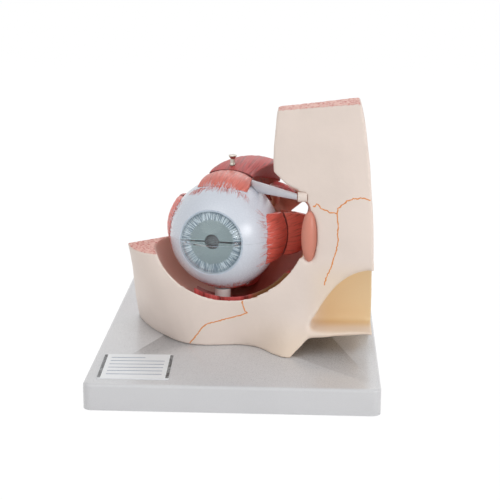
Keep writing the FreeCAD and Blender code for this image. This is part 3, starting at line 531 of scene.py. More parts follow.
def ribbon(points, faces, spine, section):
    """Adds a strip along a spine of (spot, upward direction, half width).

    The section gives its corners as (share of the half width, rise over the spot).
    """
    first = len(points)
    size = len(section)
    for i, (spot, up, half_width) in enumerate(spine):
        ahead = spine[min(i + 1, len(spine) - 1)][0] - spine[max(i - 1, 0)][0]
        side = ahead.cross(up).normalized() * half_width
        points += [spot + side * across + up * rise for across, rise in section]
        if i:
            a = len(points) - 2 * size
            b = a + size
            faces += [(a + j, b + j, b + (j + 1) % size, a + (j + 1) % size) for j in range(size)]
    last = len(points) - size
    faces += [tuple(range(first, first + size)), tuple(range(last, last + size))]


# ---------------------------------------------------------------- node helpers
VECTOR, COLOUR, VALUE = "NodeSocketVector", "NodeSocketColor", "NodeSocketFloat"
COLOUR_AND_HEIGHT = {"Color": COLOUR, "Height": VALUE}
FULL_FINISH = {"Color": COLOUR, "Roughness": VALUE, "Height": VALUE}


def connect(tree, made, values):
    """Sets a node's inputs by name or number, each from a socket or a plain value."""
    for key, value in values.items():
        if isinstance(value, bpy.types.NodeSocket):
            tree.links.new(value, made.inputs[key])
        else:
            made.inputs[key].default_value = value
    return made


def node(tree, kind, values=None, **settings):
    """Adds a node with its settings and inputs."""
    made = tree.nodes.new(kind)
    for key, value in settings.items():
        setattr(made, key, value)
    return connect(tree, made, values or {})


def maths(tree, operation, *values):
    return node(tree, "ShaderNodeMath", dict(enumerate(values)), operation=operation).outputs[0]


def vector_maths(tree, operation, *values):
    return node(tree, "ShaderNodeVectorMath", dict(enumerate(values)), operation=operation).outputs[0]


def scaled(tree, vector, factor):
    return node(tree, "ShaderNodeVectorMath", {0: vector, "Scale": factor}, operation="SCALE").outputs[0]


def split(tree, vector):
    return node(tree, "ShaderNodeSeparateXYZ", {0: vector}).outputs


def joined(tree, x, y, z):
    return node(tree, "ShaderNodeCombineXYZ", {0: x, 1: y, 2: z}).outputs[0]


def mix(tree, factor, first, second):
    return node(tree, "ShaderNodeMix", {0: factor, 6: first, 7: second}, data_type="RGBA").outputs[2]


def between(tree, value, low, high, to_low=0.0, to_high=1.0):
    """to_low up to low, to_high from high on, smooth between."""
    return node(tree, "ShaderNodeMapRange", {0: value, 1: low, 2: high, 3: to_low, 4: to_high},
                interpolation_type="SMOOTHSTEP").outputs[0]


def cloud(tree, vector, scale, detail=2.0, roughness=0.5, distortion=0.0):
    return node(tree, "ShaderNodeTexNoise", {
        "Vector": vector, "Scale": scale, "Detail": detail, "Roughness": roughness,
        "Distortion": distortion}).outputs[0]


def bent(tree, vector, scale, reach):
    """A vector pushed about by noise."""
    warp = node(tree, "ShaderNodeTexNoise", {"Vector": vector, "Scale": scale, "Detail": 2.0}).outputs[1]
    return vector_maths(tree, "ADD", vector, scaled(tree, warp, reach))


def flattened(tree, vector):
    """The part of a vector that is square to the optic axis."""
    parts = split(tree, vector)
    return joined(tree, parts[0], 0.0, parts[2])


def wound(tree, flat, around, along):
    """The turn about the optic axis, scaled by around, with along as its middle value."""
    parts = split(tree, scaled(tree, vector_maths(tree, "NORMALIZE", flat), around))
    return joined(tree, parts[0], along, parts[2])


def mask_of(tree, name):
    """A mask that set_mask has kept on the mesh."""
    return node(tree, "ShaderNodeAttribute", attribute_name=name).outputs["Fac"]


def any_ray(tree, *kinds):
    """1 where the light path is of any of these kinds."""
    path = tree.nodes.new("ShaderNodeLightPath")
    found = path.outputs[kinds[0]]
    for kind in kinds[1:]:
        found = maths(tree, "MAXIMUM", found, path.outputs[kind])
    return found


def in_mm(tree):
    """Place on the piece in mm in the model's frame."""
    return scaled(tree, node(tree, "ShaderNodeTexCoord").outputs["Object"], 1 / MM)


def in_eye_mm(tree):
    """Place on the piece in mm in the eyeball's frame."""
    return node(tree, "ShaderNodeMapping", {
        "Vector": in_mm(tree), "Location": tuple(EYE_CENTRE), "Rotation": (0.0, 0.0, -EYE_YAW)},
        vector_type="TEXTURE").outputs[0]


# ---------------------------------------------------------------- shader groups
def shared_group(name, inputs, outputs, fill):
    """The node group of that name, made the first time that a material asks for it.

    Inputs and outputs give the kind of each socket; fill makes the nodes and returns the outputs.
    """
    if name in bpy.data.node_groups:
        return bpy.data.node_groups[name]
    tree = bpy.data.node_groups.new(name, "ShaderNodeTree")
    for way, sockets in (("INPUT", inputs), ("OUTPUT", outputs)):
        for socket, kind in sockets.items():
            tree.interface.new_socket(socket, in_out=way, socket_type=kind)
    results = fill(tree, tree.nodes.new("NodeGroupInput").outputs)
    connect(tree, tree.nodes.new("NodeGroupOutput"), results)
    return tree


def painted_surface():
    """Two colours in soft patches with a fine grain."""
    def fill(tree, given):
        patches = between(tree, cloud(tree, given["Vector"], given["Patch Scale"], 3.0), 0.36, 0.68)
        patches = maths(tree, "MULTIPLY", patches, given["Patch Amount"])
        grain = cloud(tree, given["Vector"], given["Grain Scale"], 3.0, 0.6)
        rough = node(tree, "ShaderNodeMapRange", {
            0: grain, 1: 0.3, 2: 0.7, 3: given["Smoothest"], 4: given["Roughest"]}).outputs[0]
        return {"Color": mix(tree, patches, given["Color"], given["Patch Color"]),
                "Roughness": rough, "Height": grain}
    return shared_group("Painted Surface", {
        "Vector": VECTOR, "Color": COLOUR, "Patch Color": COLOUR, "Patch Scale": VALUE,
        "Patch Amount": VALUE, "Grain Scale": VALUE, "Smoothest": VALUE, "Roughest": VALUE},
        FULL_FINISH, fill)


def muscle_fibres():
    """Strands that run along the optic axis (or round it), from deep to light, with pale threads."""
    def fill(tree, given):
        along = maths(tree, "MULTIPLY", split(tree, given["Vector"])[1], given["Along"])
        path = wound(tree, flattened(tree, given["Vector"]), given["Across"], along)
        strands = cloud(tree, path, 1.0, 4.0, 0.65, 0.6)
        threads = between(tree, cloud(tree, path, 2.3, 3.0, 0.6, 0.4), 0.56, 0.70)
        threads = maths(tree, "MULTIPLY", threads, given["Thread Amount"])
        base = mix(tree, between(tree, strands, 0.30, 0.56), given["Deep"], given["Main"])
        return {"Color": mix(tree, threads, base, given["Thread"]),
                "Roughness": between(tree, strands, 0.3, 0.7, 0.34, 0.52), "Height": strands}
    return shared_group("Muscle Fibres", {
        "Vector": VECTOR, "Across": VALUE, "Along": VALUE, "Deep": COLOUR, "Main": COLOUR,
        "Thread": COLOUR, "Thread Amount": VALUE}, FULL_FINISH, fill)


def spongy_section():
    """Cut bone: pale ground with red spots and pits."""
    def fill(tree, given):
        cells = node(tree, "ShaderNodeTexVoronoi", {
            "Vector": bent(tree, given["Vector"], 0.5, 2.0), "Scale": given["Scale"]}).outputs[0]
        patch = cloud(tree, given["Vector"], 0.35, 3.0, 0.7)
        dots = between(tree, cells, 0.52, 0.30)
        red = maths(tree, "MULTIPLY", dots, between(tree, patch, 0.40, 0.55))
        return {"Color": mix(tree, red, given["Pale"], given["Red"]),
                "Height": maths(tree, "SUBTRACT", 1.0, dots)}
    return shared_group("Spongy Section", {
        "Vector": VECTOR, "Pale": COLOUR, "Red": COLOUR, "Scale": VALUE}, COLOUR_AND_HEIGHT, fill)


def iris_strokes():
    """Radial strokes of the iris in an outer zone, a smooth inner zone and a pale rim."""
    def fill(tree, given):
        flat = flattened(tree, given["Vector"])
        distance = node(tree, "ShaderNodeVectorMath", {0: flat}, operation="LENGTH").outputs[1]
        share = maths(tree, "DIVIDE", distance, given["Outer Radius"])
        path = wound(tree, flat, 24.0, maths(tree, "MULTIPLY", share, 1.6))
        strokes = cloud(tree, path, 1.5, 1.0, 0.5)
        ragged = maths(tree, "MULTIPLY", cloud(tree, path, 0.9, 2.0), 0.16)
        outer_zone = between(tree, maths(tree, "SUBTRACT", share, ragged), 0.61, 0.66)
        stroked = mix(tree, between(tree, strokes, 0.47, 0.56), given["Dark"], given["Light"])
        shadow = maths(tree, "MULTIPLY", between(tree, share, 0.90, 0.925), 0.55)
        rim = maths(tree, "MULTIPLY", between(tree, share, 0.955, 0.975), 0.8)
        body = mix(tree, outer_zone, given["Inner"], stroked)
        body = mix(tree, shadow, body, given["Dark"])
        return {"Color": mix(tree, rim, body, given["Light"]),
                "Height": maths(tree, "MULTIPLY", strokes, outer_zone)}
    return shared_group("Iris Strokes", {
        "Vector": VECTOR, "Dark": COLOUR, "Light": COLOUR, "Inner": COLOUR, "Outer Radius": VALUE},
        COLOUR_AND_HEIGHT, fill)


def painted_vessels():
    """Branching vessels painted over a mottled ground."""
    def fill(tree, given):
        cells = node(tree, "ShaderNodeTexVoronoi", {
            "Vector": bent(tree, given["Vector"], 0.12, 9.0), "Scale": given["Scale"]},
            feature="DISTANCE_TO_EDGE").outputs[0]
        line = maths(tree, "LESS_THAN", cells, given["Width"])
        gaps = between(tree, cloud(tree, given["Vector"], 0.09, 2.0), 0.42, 0.52)
        mottle = between(tree, cloud(tree, given["Vector"], 0.25, 3.0), 0.3, 0.7, 0.82, 1.08)
        ground = vector_maths(tree, "MULTIPLY", given["Ground"], joined(tree, mottle, mottle, mottle))
        drawn = maths(tree, "MULTIPLY", line, gaps)
        return {"Color": mix(tree, drawn, ground, given["Vessel"]), "Height": line}
    return shared_group("Painted Vessels", {
        "Vector": VECTOR, "Ground": COLOUR, "Vessel": COLOUR, "Scale": VALUE, "Width": VALUE},
        COLOUR_AND_HEIGHT, fill)


# ---------------------------------------------------------------- materials
def use_group(tree, group_tree, values):
    made = tree.nodes.new("ShaderNodeGroup")
    made.node_tree = group_tree
    return connect(tree, made, values).outputs


def shader(name, **values):
    """New material with one Principled BSDF; values are its sockets by name with _ for spaces."""
    material = bpy.data.materials.new(name)
    material.use_nodes = True
    tree = material.node_tree
    tree.nodes.clear()
    principled = tree.nodes.new("ShaderNodeBsdfPrincipled")
    output = tree.nodes.new("ShaderNodeOutputMaterial")
    tree.links.new(principled.outputs[0], output.inputs["Surface"])
    for key, value in values.items():
        principled.inputs[key.replace("_", " ")].default_value = value
    return material, tree, principled


def blend_shaders(tree, factor, first, second):
    """Puts a mix of two shaders on the material's surface."""
    blend = node(tree, "ShaderNodeMixShader", {0: factor, 1: first.outputs[0], 2: second.outputs[0]})
    output = next(n for n in tree.nodes if n.type == "OUTPUT_MATERIAL")
    tree.links.new(blend.outputs[0], output.inputs["Surface"])


def tinted(tree, base, tints):
    """Lays colours over a base, each where its mask on the mesh is 1."""
    for mask_name, tint in tints:
        base = mix(tree, mask_of(tree, mask_name), base, tint)
    return base


def add_bump(tree, principled, height, depth_mm):
    bump = node(tree, "ShaderNodeBump", {"Strength": 1.0, "Distance": depth_mm * MM, "Height": height})
    tree.links.new(bump.outputs[0], principled.inputs["Normal"])


def lay_finish(tree, principled, finish, depth_mm, tints=()):
    """Feeds a group's colour, roughness and height to the shader."""
    tree.links.new(tinted(tree, finish["Color"], tints), principled.inputs["Base Color"])
    if "Roughness" in finish:
        tree.links.new(finish["Roughness"], principled.inputs["Roughness"])
    add_bump(tree, principled, finish["Height"], depth_mm)


def paint_finish(tree, name, main, patch):
    """The painted surface with the values of a named finish."""
    return use_group(tree, painted_surface(), {
        "Vector": in_mm(tree), "Color": main, "Patch Color": patch,
        **dict(zip(PAINT_SOCKETS, PAINTS[name]))})


def painted(name, main, patch, tints=(), **values):
    """Plain painted or moulded finish with soft patches and a fine grain."""
    if name in bpy.data.materials:
        return bpy.data.materials[name]
    material, tree, principled = shader(name, **values)
    lay_finish(tree, principled, paint_finish(tree, name, main, patch), PAINTS[name][-1], tints)
    return material


def muscle_paint(name, deep, main, thread, tints=()):
    """Strands of muscle under a thin glossy coat."""
    if name in bpy.data.materials:
        return bpy.data.materials[name]
    thread_amount, across, along, gloss = FIBRES[name]
    material, tree, principled = shader(
        name, Coat_Weight=gloss, Coat_Roughness=0.3, Specular_IOR_Level=0.2 + gloss)
    finish = use_group(tree, muscle_fibres(), {
        "Vector": in_eye_mm(tree), "Across": across, "Along": along, "Deep": deep, "Main": main,
        "Thread": thread, "Thread Amount": thread_amount})
    lay_finish(tree, principled, finish, FIBRE_RELIEF, tints)
    return material


def clear_plastic(name):
    """Clear cast plastic that lets light through to what lies under it."""
    if name in bpy.data.materials:
        return bpy.data.materials[name]
    tint, roughness, ior, clearness = CLEAR_PLASTICS[name]
    material, tree, principled = shader(
        name, Base_Color=tint, Roughness=roughness, IOR=ior, Transmission_Weight=clearness)
    passing = node(tree, "ShaderNodeBsdfTransparent", {"Color": tint})
    blend_shaders(tree, any_ray(tree, "Is Shadow Ray"), principled, passing)
    return material


def floor_material():
    """Pale floor that keeps a faint shadow in front of a white room."""
    material, tree, principled = shader("pale_floor", Base_Color=grey(0.86), Roughness=0.7)
    glow = node(tree, "ShaderNodeEmission", {"Color": grey(1.0), "Strength": FLOOR_GLOW})
    seen = any_ray(tree, "Is Camera Ray", "Is Glossy Ray")
    blend_shaders(tree, maths(tree, "MULTIPLY", seen, FLOOR_GLOW_SHARE), principled, glow)
    return material


def bone_material(colours):
    """Painted bone with its washes and painted shade, and spongy where it is cut."""
    material, tree, principled = shader("bone_paint")
    finish = paint_finish(tree, "bone_paint", colours.bone, shade(colours.bone, 0.93))
    sponge = use_group(tree, spongy_section(), {
        "Vector": in_mm(tree), "Pale": colours.sponge_pale, "Red": colours.sponge_red, "Scale": 0.55})
    # The inside mask lays the brown of painted shade over the orbit's hollow.
    base = tinted(tree, finish["Color"], (
        ("warm", colours.bone_warm), ("inside", colours.bone_hollow_shade), ("maroon", colours.bone_maroon),
        ("olive", colours.bone_olive), ("spongy", sponge["Color"])))
    tree.links.new(base, principled.inputs["Base Color"])
    tree.links.new(finish["Roughness"], principled.inputs["Roughness"])
    grain = maths(tree, "MULTIPLY", finish["Height"], BONE_GRAIN)
    pits = maths(tree, "MULTIPLY", sponge["Height"], mask_of(tree, "spongy"))
    add_bump(tree, principled, maths(tree, "ADD", grain, pits), PAINTS["bone_paint"][-1])
    return material


# ---------------------------------------------------------------- stage
def add_camera():
    turn, drop, roll = CAMERA_TURN, CAMERA_DROP, CAMERA_ROLL
    forward = Vector((-math.sin(turn) * math.cos(drop), math.cos(turn) * math.cos(drop), -math.sin(drop)))
    right = Vector((math.cos(turn), math.sin(turn), 0.0))
    up = right.cross(forward)
    level = math.cos(roll) * right + math.sin(roll) * up
    upright = -math.sin(roll) * right + math.cos(roll) * up
    lens = bpy.data.cameras.new("camera")
    lens.lens = CAMERA_LENS
    lens.sensor_width = CAMERA_SENSOR
    camera = bpy.data.objects.new("camera", lens)
    facing = Matrix((level, upright, -forward)).transposed().to_4x4()
    camera.matrix_world = Matrix.Translation(CAMERA_PLACE) @ facing
    bpy.context.scene.collection.objects.link(camera)
    bpy.context.scene.camera = camera


def add_floor():
    bpy.ops.mesh.primitive_plane_add(size=FLOOR_SIZE)
    floor = bpy.context.object
    floor.name = "floor"
    floor.data.materials.append(floor_material())


def add_room():
    """White room that lights the model softly."""
    world = bpy.data.worlds.new("room")
    world.use_nodes = True
    bpy.context.scene.world = world
    tree = world.node_tree
    tree.nodes.clear()
    seen = any_ray(tree, "Is Camera Ray", "Is Glossy Ray", "Is Transmission Ray")
    strength = between(tree, seen, 0.0, 1.0, ROOM_LIGHT, 1.0)
    sky = node(tree, "ShaderNodeBackground", {"Color": grey(1.0), "Strength": strength})
    output = tree.nodes.new("ShaderNodeOutputWorld")
    tree.links.new(sky.outputs[0], output.inputs[0])


def add_lamp(name, place, size, power):
    light = bpy.data.lights.new(name, "AREA")
    light.shape = "DISK"
    light.size = size
    light.energy = power
    lamp = bpy.data.objects.new(name, light)
    lamp.location = place
    lamp.rotation_euler = (LAMP_AIM - Vector(place)).to_track_quat("-Z", "Y").to_euler()
    bpy.context.scene.collection.objects.link(lamp)


# ---------------------------------------------------------------- masks and shape of the bone
def zone(points, x=None, y=None, z=None):
    """1 inside a zone: along each axis given, 0 before the first place and 1 after the second."""
    share = np.ones(len(points))
    for axis, span in enumerate((x, y, z)):
        if span:
            share = share * ramp(points[:, axis], *span)
    return share


def soften_nose(piece):
    """Blends the rim of the nasal opening into the cheek."""
    points = points_of(piece)
    weight = zone(points, *NOSE_RIM) * zone(points, *NOSE_RIM_ENDS)
    rim = piece.vertex_groups.new(name="nose")
    for level in range(1, 11):
        chosen = np.nonzero(np.round(weight * 10) == level)[0]
        rim.add(chosen.tolist(), level / 10, "REPLACE")
    soften = piece.modifiers.new("nose", "SMOOTH")
    soften.factor = 0.5
    soften.iterations = 60
    soften.vertex_group = "nose"
    apply_modifiers(piece)


def cut_share(points, normals):
    """Where the bone is cut and its spongy inside shows: column's lid, cheek's top and outer side."""
    lid_height = COLUMN_LID_MIDDLE[1] + (points[:, 0] - COLUMN_LID_MIDDLE[0]) * math.tan(COLUMN_LID_TILT)
    lid = ramp(points[:, 2], lid_height - 1.3, lid_height - 0.6) * ramp(normals[:, 2], 0.7, 0.9)
    lid *= points[:, 2] > 160
    cheek = ramp(points[:, 2], CHEEK_TOP - 1.2, CHEEK_TOP - 0.5) * ramp(normals[:, 2], 0.75, 0.92)
    cheek *= points[:, 0] < -30
    first, second, third = [np.array(p) for p in OUTER_CUT]
    outward = np.cross(second - first, third - first)
    outward *= np.sign(outward[2]) / np.linalg.norm(outward)
    away = np.abs((points - first) @ outward)
    outer = ramp(away, 1.3, 0.6) * ramp(normals @ outward, 0.8, 0.93)
    return np.clip(lid + cheek + outer, 0, 1)


def hollow_shade_share(points, normals):
    """Where the painted shade of the orbit's hollow lies; the olive and maroon washes lie within it."""
    middle = np.array(ORBIT_MIDDLE)
    to_middle = middle - points
    facing = (normals * to_middle).sum(1) / np.linalg.norm(to_middle, axis=1)
    near = ramp(np.linalg.norm(to_middle / np.array(ORBIT_REACH), axis=1), 1.1, 0.95)
    nasal = ramp(points[:, 0], -5, 15)
    start = -55 - 3 * nasal
    return near * ramp(facing, 0.1, 0.5) * ramp(points[:, 1], start, start + 9 - 6 * nasal)


def warm_share(points):
    """Where the bone is yellowish: in the nose, over the mouth and in the hollow behind the nose."""
    nose = zone(points, *WARM_NOSE) * (1 - 0.7 * zone(points, *PALE_NOSE_FRONT))
    jaw = 0.35 * zone(points, *WARM_JAW)
    hollow = 0.6 * zone(points, *WARM_HOLLOW)
    return np.maximum(np.maximum(nose, jaw), hollow)


def shape_bone(piece, points, normals, spongy):
    """Swells the smooth bone and pits the cut bone, but for its foot on the plate."""
    swell, ripple = [depth * noise_over(points, scale) for depth, scale in (BONE_SWELL, BONE_RIPPLE)]
    pits = spongy * BONE_PITS[0] * ramp(noise_over(points, BONE_PITS[1]), 0.0, 0.45)
    above_foot = ramp(points[:, 2], PLATE_TOP + 1.1, PLATE_TOP + 3.0)
    set_points(piece, points + normals * (((swell + ripple) * (1 - spongy) - pits) * above_foot)[:, None])


def evenly_along(line, step):
    """Points at about even steps along a line of (x, z)."""
    path = []
    for (x0, z0), (x1, z1) in zip(line, line[1:]):
        steps = max(1, round(math.hypot(x1 - x0, z1 - z0) / step))
        path += [(x0 + (x1 - x0) * i / steps, z0 + (z1 - z0) * i / steps) for i in range(steps)]
    return path + [line[-1]]


def suture_spine(surface, line, order, half_width):
    """Spine of a suture on the bone's front, wandering about its line and varying in width."""
    spine = []
    for i, (x, z) in enumerate(evenly_along(line, SUTURE_STEP)):
        x += SUTURE_WANDER * noise.noise((i * 0.35, order * 7.0, 0.0))
        height = z + SUTURE_WANDER * noise.noise((i * 0.35, order * 7.0, 5.0))
        start = Vector((x, -130.0, height)) * MM
        hit, normal, _, _ = surface.ray_cast(start, Vector((0.0, 1.0, 0.0)))
        on_front = hit is not None and (hit.y < -50 * MM or z < 45)
        if on_front:
            share = 0.8 + 0.45 * noise.noise((i * 0.22, order * 3.0, 9.0))
            spine.append((hit / MM, normal, half_width * share))
    return spine


# ---------------------------------------------------------------- card
def card_sheet(name, across, along, rise, corner, material, *replaced):
    """Sheet with rounded corners: spans in the card's own directions, and over the card's top."""
    low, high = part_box("label_card")
    middle = (low + high) / 2 / MM
    (x0, x1), (y0, y1) = across, along
    outline = []
    for cx, cy, first in ((x1 - corner, y1 - corner, 0), (x0 + corner, y1 - corner, 90),
                          (x0 + corner, y0 + corner, 180), (x1 - corner, y0 + corner, 270)):
        for i in range(7):
            angle = math.radians(first + 15 * i)
            outline.append((cx + corner * math.cos(angle), cy + corner * math.sin(angle)))
    cos, sin = math.cos(CARD_TURN), math.sin(CARD_TURN)
    points = [(middle.x + x * cos - y * sin, middle.y + x * sin + y * cos, high.z / MM + z)
              for z in rise for x, y in outline]
    corners = len(outline)
    faces = [tuple(range(corners)), tuple(range(corners, 2 * corners))]
    faces += [(i, (i + 1) % corners, corners + (i + 1) % corners, corners + i) for i in range(corners)]
    finish_piece(new_object(name, points, faces), "stand", "card", material, *replaced)


# ---------------------------------------------------------------- tufts of the muscle ends
def drawn_strand(draw, reach, outward):
    """Draws a strand: place across, drift, bow, start and end angle, and width."""
    place = draw.uniform(-reach, reach)
    if outward:
        start = INSERTION_ANGLE + draw.uniform(*RED_START)
        end = INSERTION_ANGLE - draw.uniform(*RED_END) * (0.5 + 0.5 * draw.random())
        width = draw.uniform(*RED_WIDTH)
    else:
        start = INSERTION_ANGLE - draw.uniform(*WHITE_START)
        end = INSERTION_ANGLE + draw.uniform(*WHITE_END)
        width = draw.uniform(*WHITE_WIDTH)
    drift = draw.uniform(-STRAND_DRIFT, STRAND_DRIFT) + (STRAND_SPREAD * place if outward else 0.0)
    bow = draw.uniform(-STRAND_BOW, STRAND_BOW)
    return place, drift, bow, start, end, width


def strand_spine(surface, strand, turning, half):
    """Spine of a strand on the surface; none where it leaves the half (1 or -1) or the surface."""
    place, drift, bow, start, end, width = strand
    spine = []
    for i in range(STRAND_STEPS + 1):
        t = i / STRAND_STEPS
        across = place + drift * t + bow * math.sin(math.pi * t)
        angle = math.radians(start + (end - start) * t)
        ring = math.sqrt(EYE_RADIUS ** 2 - across ** 2)
        way = turning @ Vector((across, -ring * math.cos(angle), ring * math.sin(angle)))
        if half and half * way.z < STRAND_CLEARANCE:
            return []
        way = (EYE_FRAME.to_3x3() @ way).normalized()
        hit = surface.ray_cast((EYE_CENTRE + way * 60.0) * MM, -way)[0]
        if hit is None:
            return []
        spine.append((hit / MM, way, (width * (1 - t) ** 0.6 + 0.03) / 2))
    return spine


def add_tufts(name, surface, draw, turn, width, half, body, amount, material, outward):
    """Thin tapered strands laid on the coat (outward) or on the muscle's front."""
    turning = Matrix.Rotation(math.radians(turn), 3, "Y")
    thickness = RED_THICKNESS if outward else WHITE_THICKNESS
    section = ((-1.0, -STRAND_SINK), (0.0, thickness), (1.0, -STRAND_SINK))
    points, faces = [], []
    for _ in range(amount):
        strand = drawn_strand(draw, width / 2 + RECTUS_FLARE, outward)
        spine = strand_spine(surface, strand, turning, half)
        if spine:
            ribbon(points, faces, spine, section)
    if faces:
        finish_piece(new_object(name, points, faces), body, "eye_muscle" if outward else "tendon", material)


def close_gap(piece, side):
    """Draws the cut face of a half towards the middle, so that the two halves meet in a hairline."""
    local = in_eye_frame(points_of(piece))
    height = side * local[:, 2]
    drawn = np.maximum((height - 0.25) / 0.95 * 1.2, 0.04)
    local[:, 2] = side * np.where(height < 1.2, drawn, height)
    set_points(piece, eye_points(local))


# ---------------------------------------------------------------- operators
class PieceOperator:
    """Shared by the operators that build pieces."""
    bl_options = {"REGISTER", "UNDO"}

    def execute(self, context):
        self.build(context.scene.eye_model_colours, context.scene.eye_model_sizes)
        return {"FINISHED"}


class EYEMODEL_OT_stage(PieceOperator, bpy.types.Operator):
    """Camera, floor, lamps and world"""
    bl_idname = "eye_model.stage"
    bl_label = "Stage"

    def build(self, colours, sizes):
        bpy.context.scene.view_settings.view_transform = "Standard"
        add_camera()
        add_floor()
        add_room()
        for name, values in LAMPS.items():
            add_lamp(name, *values)


class EYEMODEL_OT_base(PieceOperator, bpy.types.Operator):
    """Base plate, foot pads and screws"""
    bl_idname = "eye_model.base"
    bl_label = "Base Plate"

    def build(self, colours, sizes):
        plastic = painted("moulded_plastic", colours.plate, shade(colours.plate, 0.97),
                          Coat_Weight=0.3, Coat_Roughness=0.15)
        copied_piece("base_plate", "plate_moulding", "stand", "base_plastic", plastic)
        rubber = painted("pad_rubber", grey(0.02), grey(0.04))
        copied_piece("foot_pads", "rubber_pads", "stand", "pad_rubber", rubber)
        steel = painted("screw_steel", grey(0.5), grey(0.42), Metallic=1.0)
        copied_piece("base_screws", "steel_screws", "stand", "screw_steel", steel)


class EYEMODEL_OT_card(PieceOperator, bpy.types.Operator):
    """Plain ruled card at the front corner"""
    bl_idname = "eye_model.card"
    bl_label = "Card"

    def build(self, colours, sizes):
        paper = painted("card_face", colours.card, shade(colours.card, 0.95))
        ink = painted("card_ink", colours.ink, shade(colours.ink, 1.3))
        dark = painted("card_end", rgb(52, 52, 54), rgb(150, 152, 154))
        end, edge = CARD_LENGTH / 2, CARD_WIDTH / 2
        card_sheet("card_sheet", (-end, end), (-edge, edge), (-CARD_THICKNESS, 0.0), CARD_CORNER, paper,
                   "label_card")
        band = (end - BAND_WIDTH, end * 0.995)
        for name, across in (("card_band_left", (-band[1], -band[0])), ("card_band_right", band)):
            card_sheet(name, across, (-edge + 1.0, edge - 1.0), INK_RISE, INK_CORNER, dark)
        for i in range(RULES):
            y = edge - FIRST_RULE - RULE_STEP * i
            right = end - (RULE_MARGIN if i else FIRST_RULE_MARGIN)
            card_sheet("card_rule_%d" % i, (-end + RULE_MARGIN, right), (y - RULE_HALF, y + RULE_HALF),
                       INK_RISE, INK_CORNER, ink)


class EYEMODEL_OT_bone(PieceOperator, bpy.types.Operator):
    """Bone of the orbit, cheek and nose, with its cut faces and sutures"""
    bl_idname = "eye_model.bone"
    bl_label = "Bone"

    def build(self, colours, sizes):
        piece = remesh(copy_of("orbit_bone", "bone"), sizes.bone_step, 4)
        soften_nose(piece)
        points, normals = points_of(piece), normals_of(piece)
        spongy = cut_share(points, normals)
        inside = hollow_shade_share(points, normals)
        shape_bone(piece, points, normals, spongy)
        # The inside mask is painted shade in the orbit's hollow; olive and maroon lie within it.
        masks = {
            "spongy": spongy,
            "inside": inside * HOLLOW_SHADE_STRENGTH,
            "olive": inside * zone(points, *OLIVE_RIM),
            "maroon": inside * zone(points, *MAROON_WALL),
            "warm": warm_share(points),
        }
        for name, share in masks.items():
            set_mask(piece, name, share)
        finish_piece(piece, "stand", "bone", bone_material(colours), "orbit_bone", crease=70.0)
        self.sutures(piece, colours, sizes.suture_width / MM / 2)

    def sutures(self, bone, colours, half_width):
        """Thin raised ribbons along the joints between the bones."""
        surface = surface_of(bone)
        points, faces = [], []
        for order, line in enumerate(SUTURES.values()):
            ribbon(points, faces, suture_spine(surface, line, order, half_width), SUTURE_SECTION)
        paint = painted("suture_paint", colours.suture, shade(colours.suture, 0.85))
        finish_piece(new_object("suture_lines", points, faces), "stand", "bone", paint)


class EYEMODEL_OT_tear_sac(PieceOperator, bpy.types.Operator):
    """Tear sac, pulley and support peg"""
    bl_idname = "eye_model.tear_sac"
    bl_label = "Tear Sac, Pulley and Peg"

    def build(self, colours, sizes):
        profile = [(SAC_RADIUS * math.sin(math.pi * i / SAC_STEPS),
                    -SAC_HALF_HEIGHT * math.cos(math.pi * i / SAC_STEPS)) for i in range(SAC_STEPS + 1)]
        points, faces = revolved(profile, SAC_CORNERS, SAC_CENTRE)
        piece = new_object("tear_sac", points, faces)
        nasal_side = ramp(np.array(points)[:, 0] - SAC_CENTRE.x, 1.0, SAC_RADIUS)
        set_mask(piece, "nasal_edge", 0.8 * nasal_side)
        paint = painted("sac_paint", colours.sac, shade(colours.sac, 0.9),
                        [("nasal_edge", shade(colours.sac, 0.72))], Coat_Weight=0.2)
        finish_piece(piece, "stand", "sac", paint, "lacrimal_sac")
        bone = painted("pulley_paint", colours.bone, shade(colours.bone, 0.9))
        softened_piece("trochlea", "pulley", "stand", "bone", bone, 0.3, 5)
        white = painted("peg_plastic", rgb(222, 190, 180), rgb(208, 176, 166))
        softened_piece("support_peg", "white_peg", "stand", "peg_plastic", white, 0.35, 3)


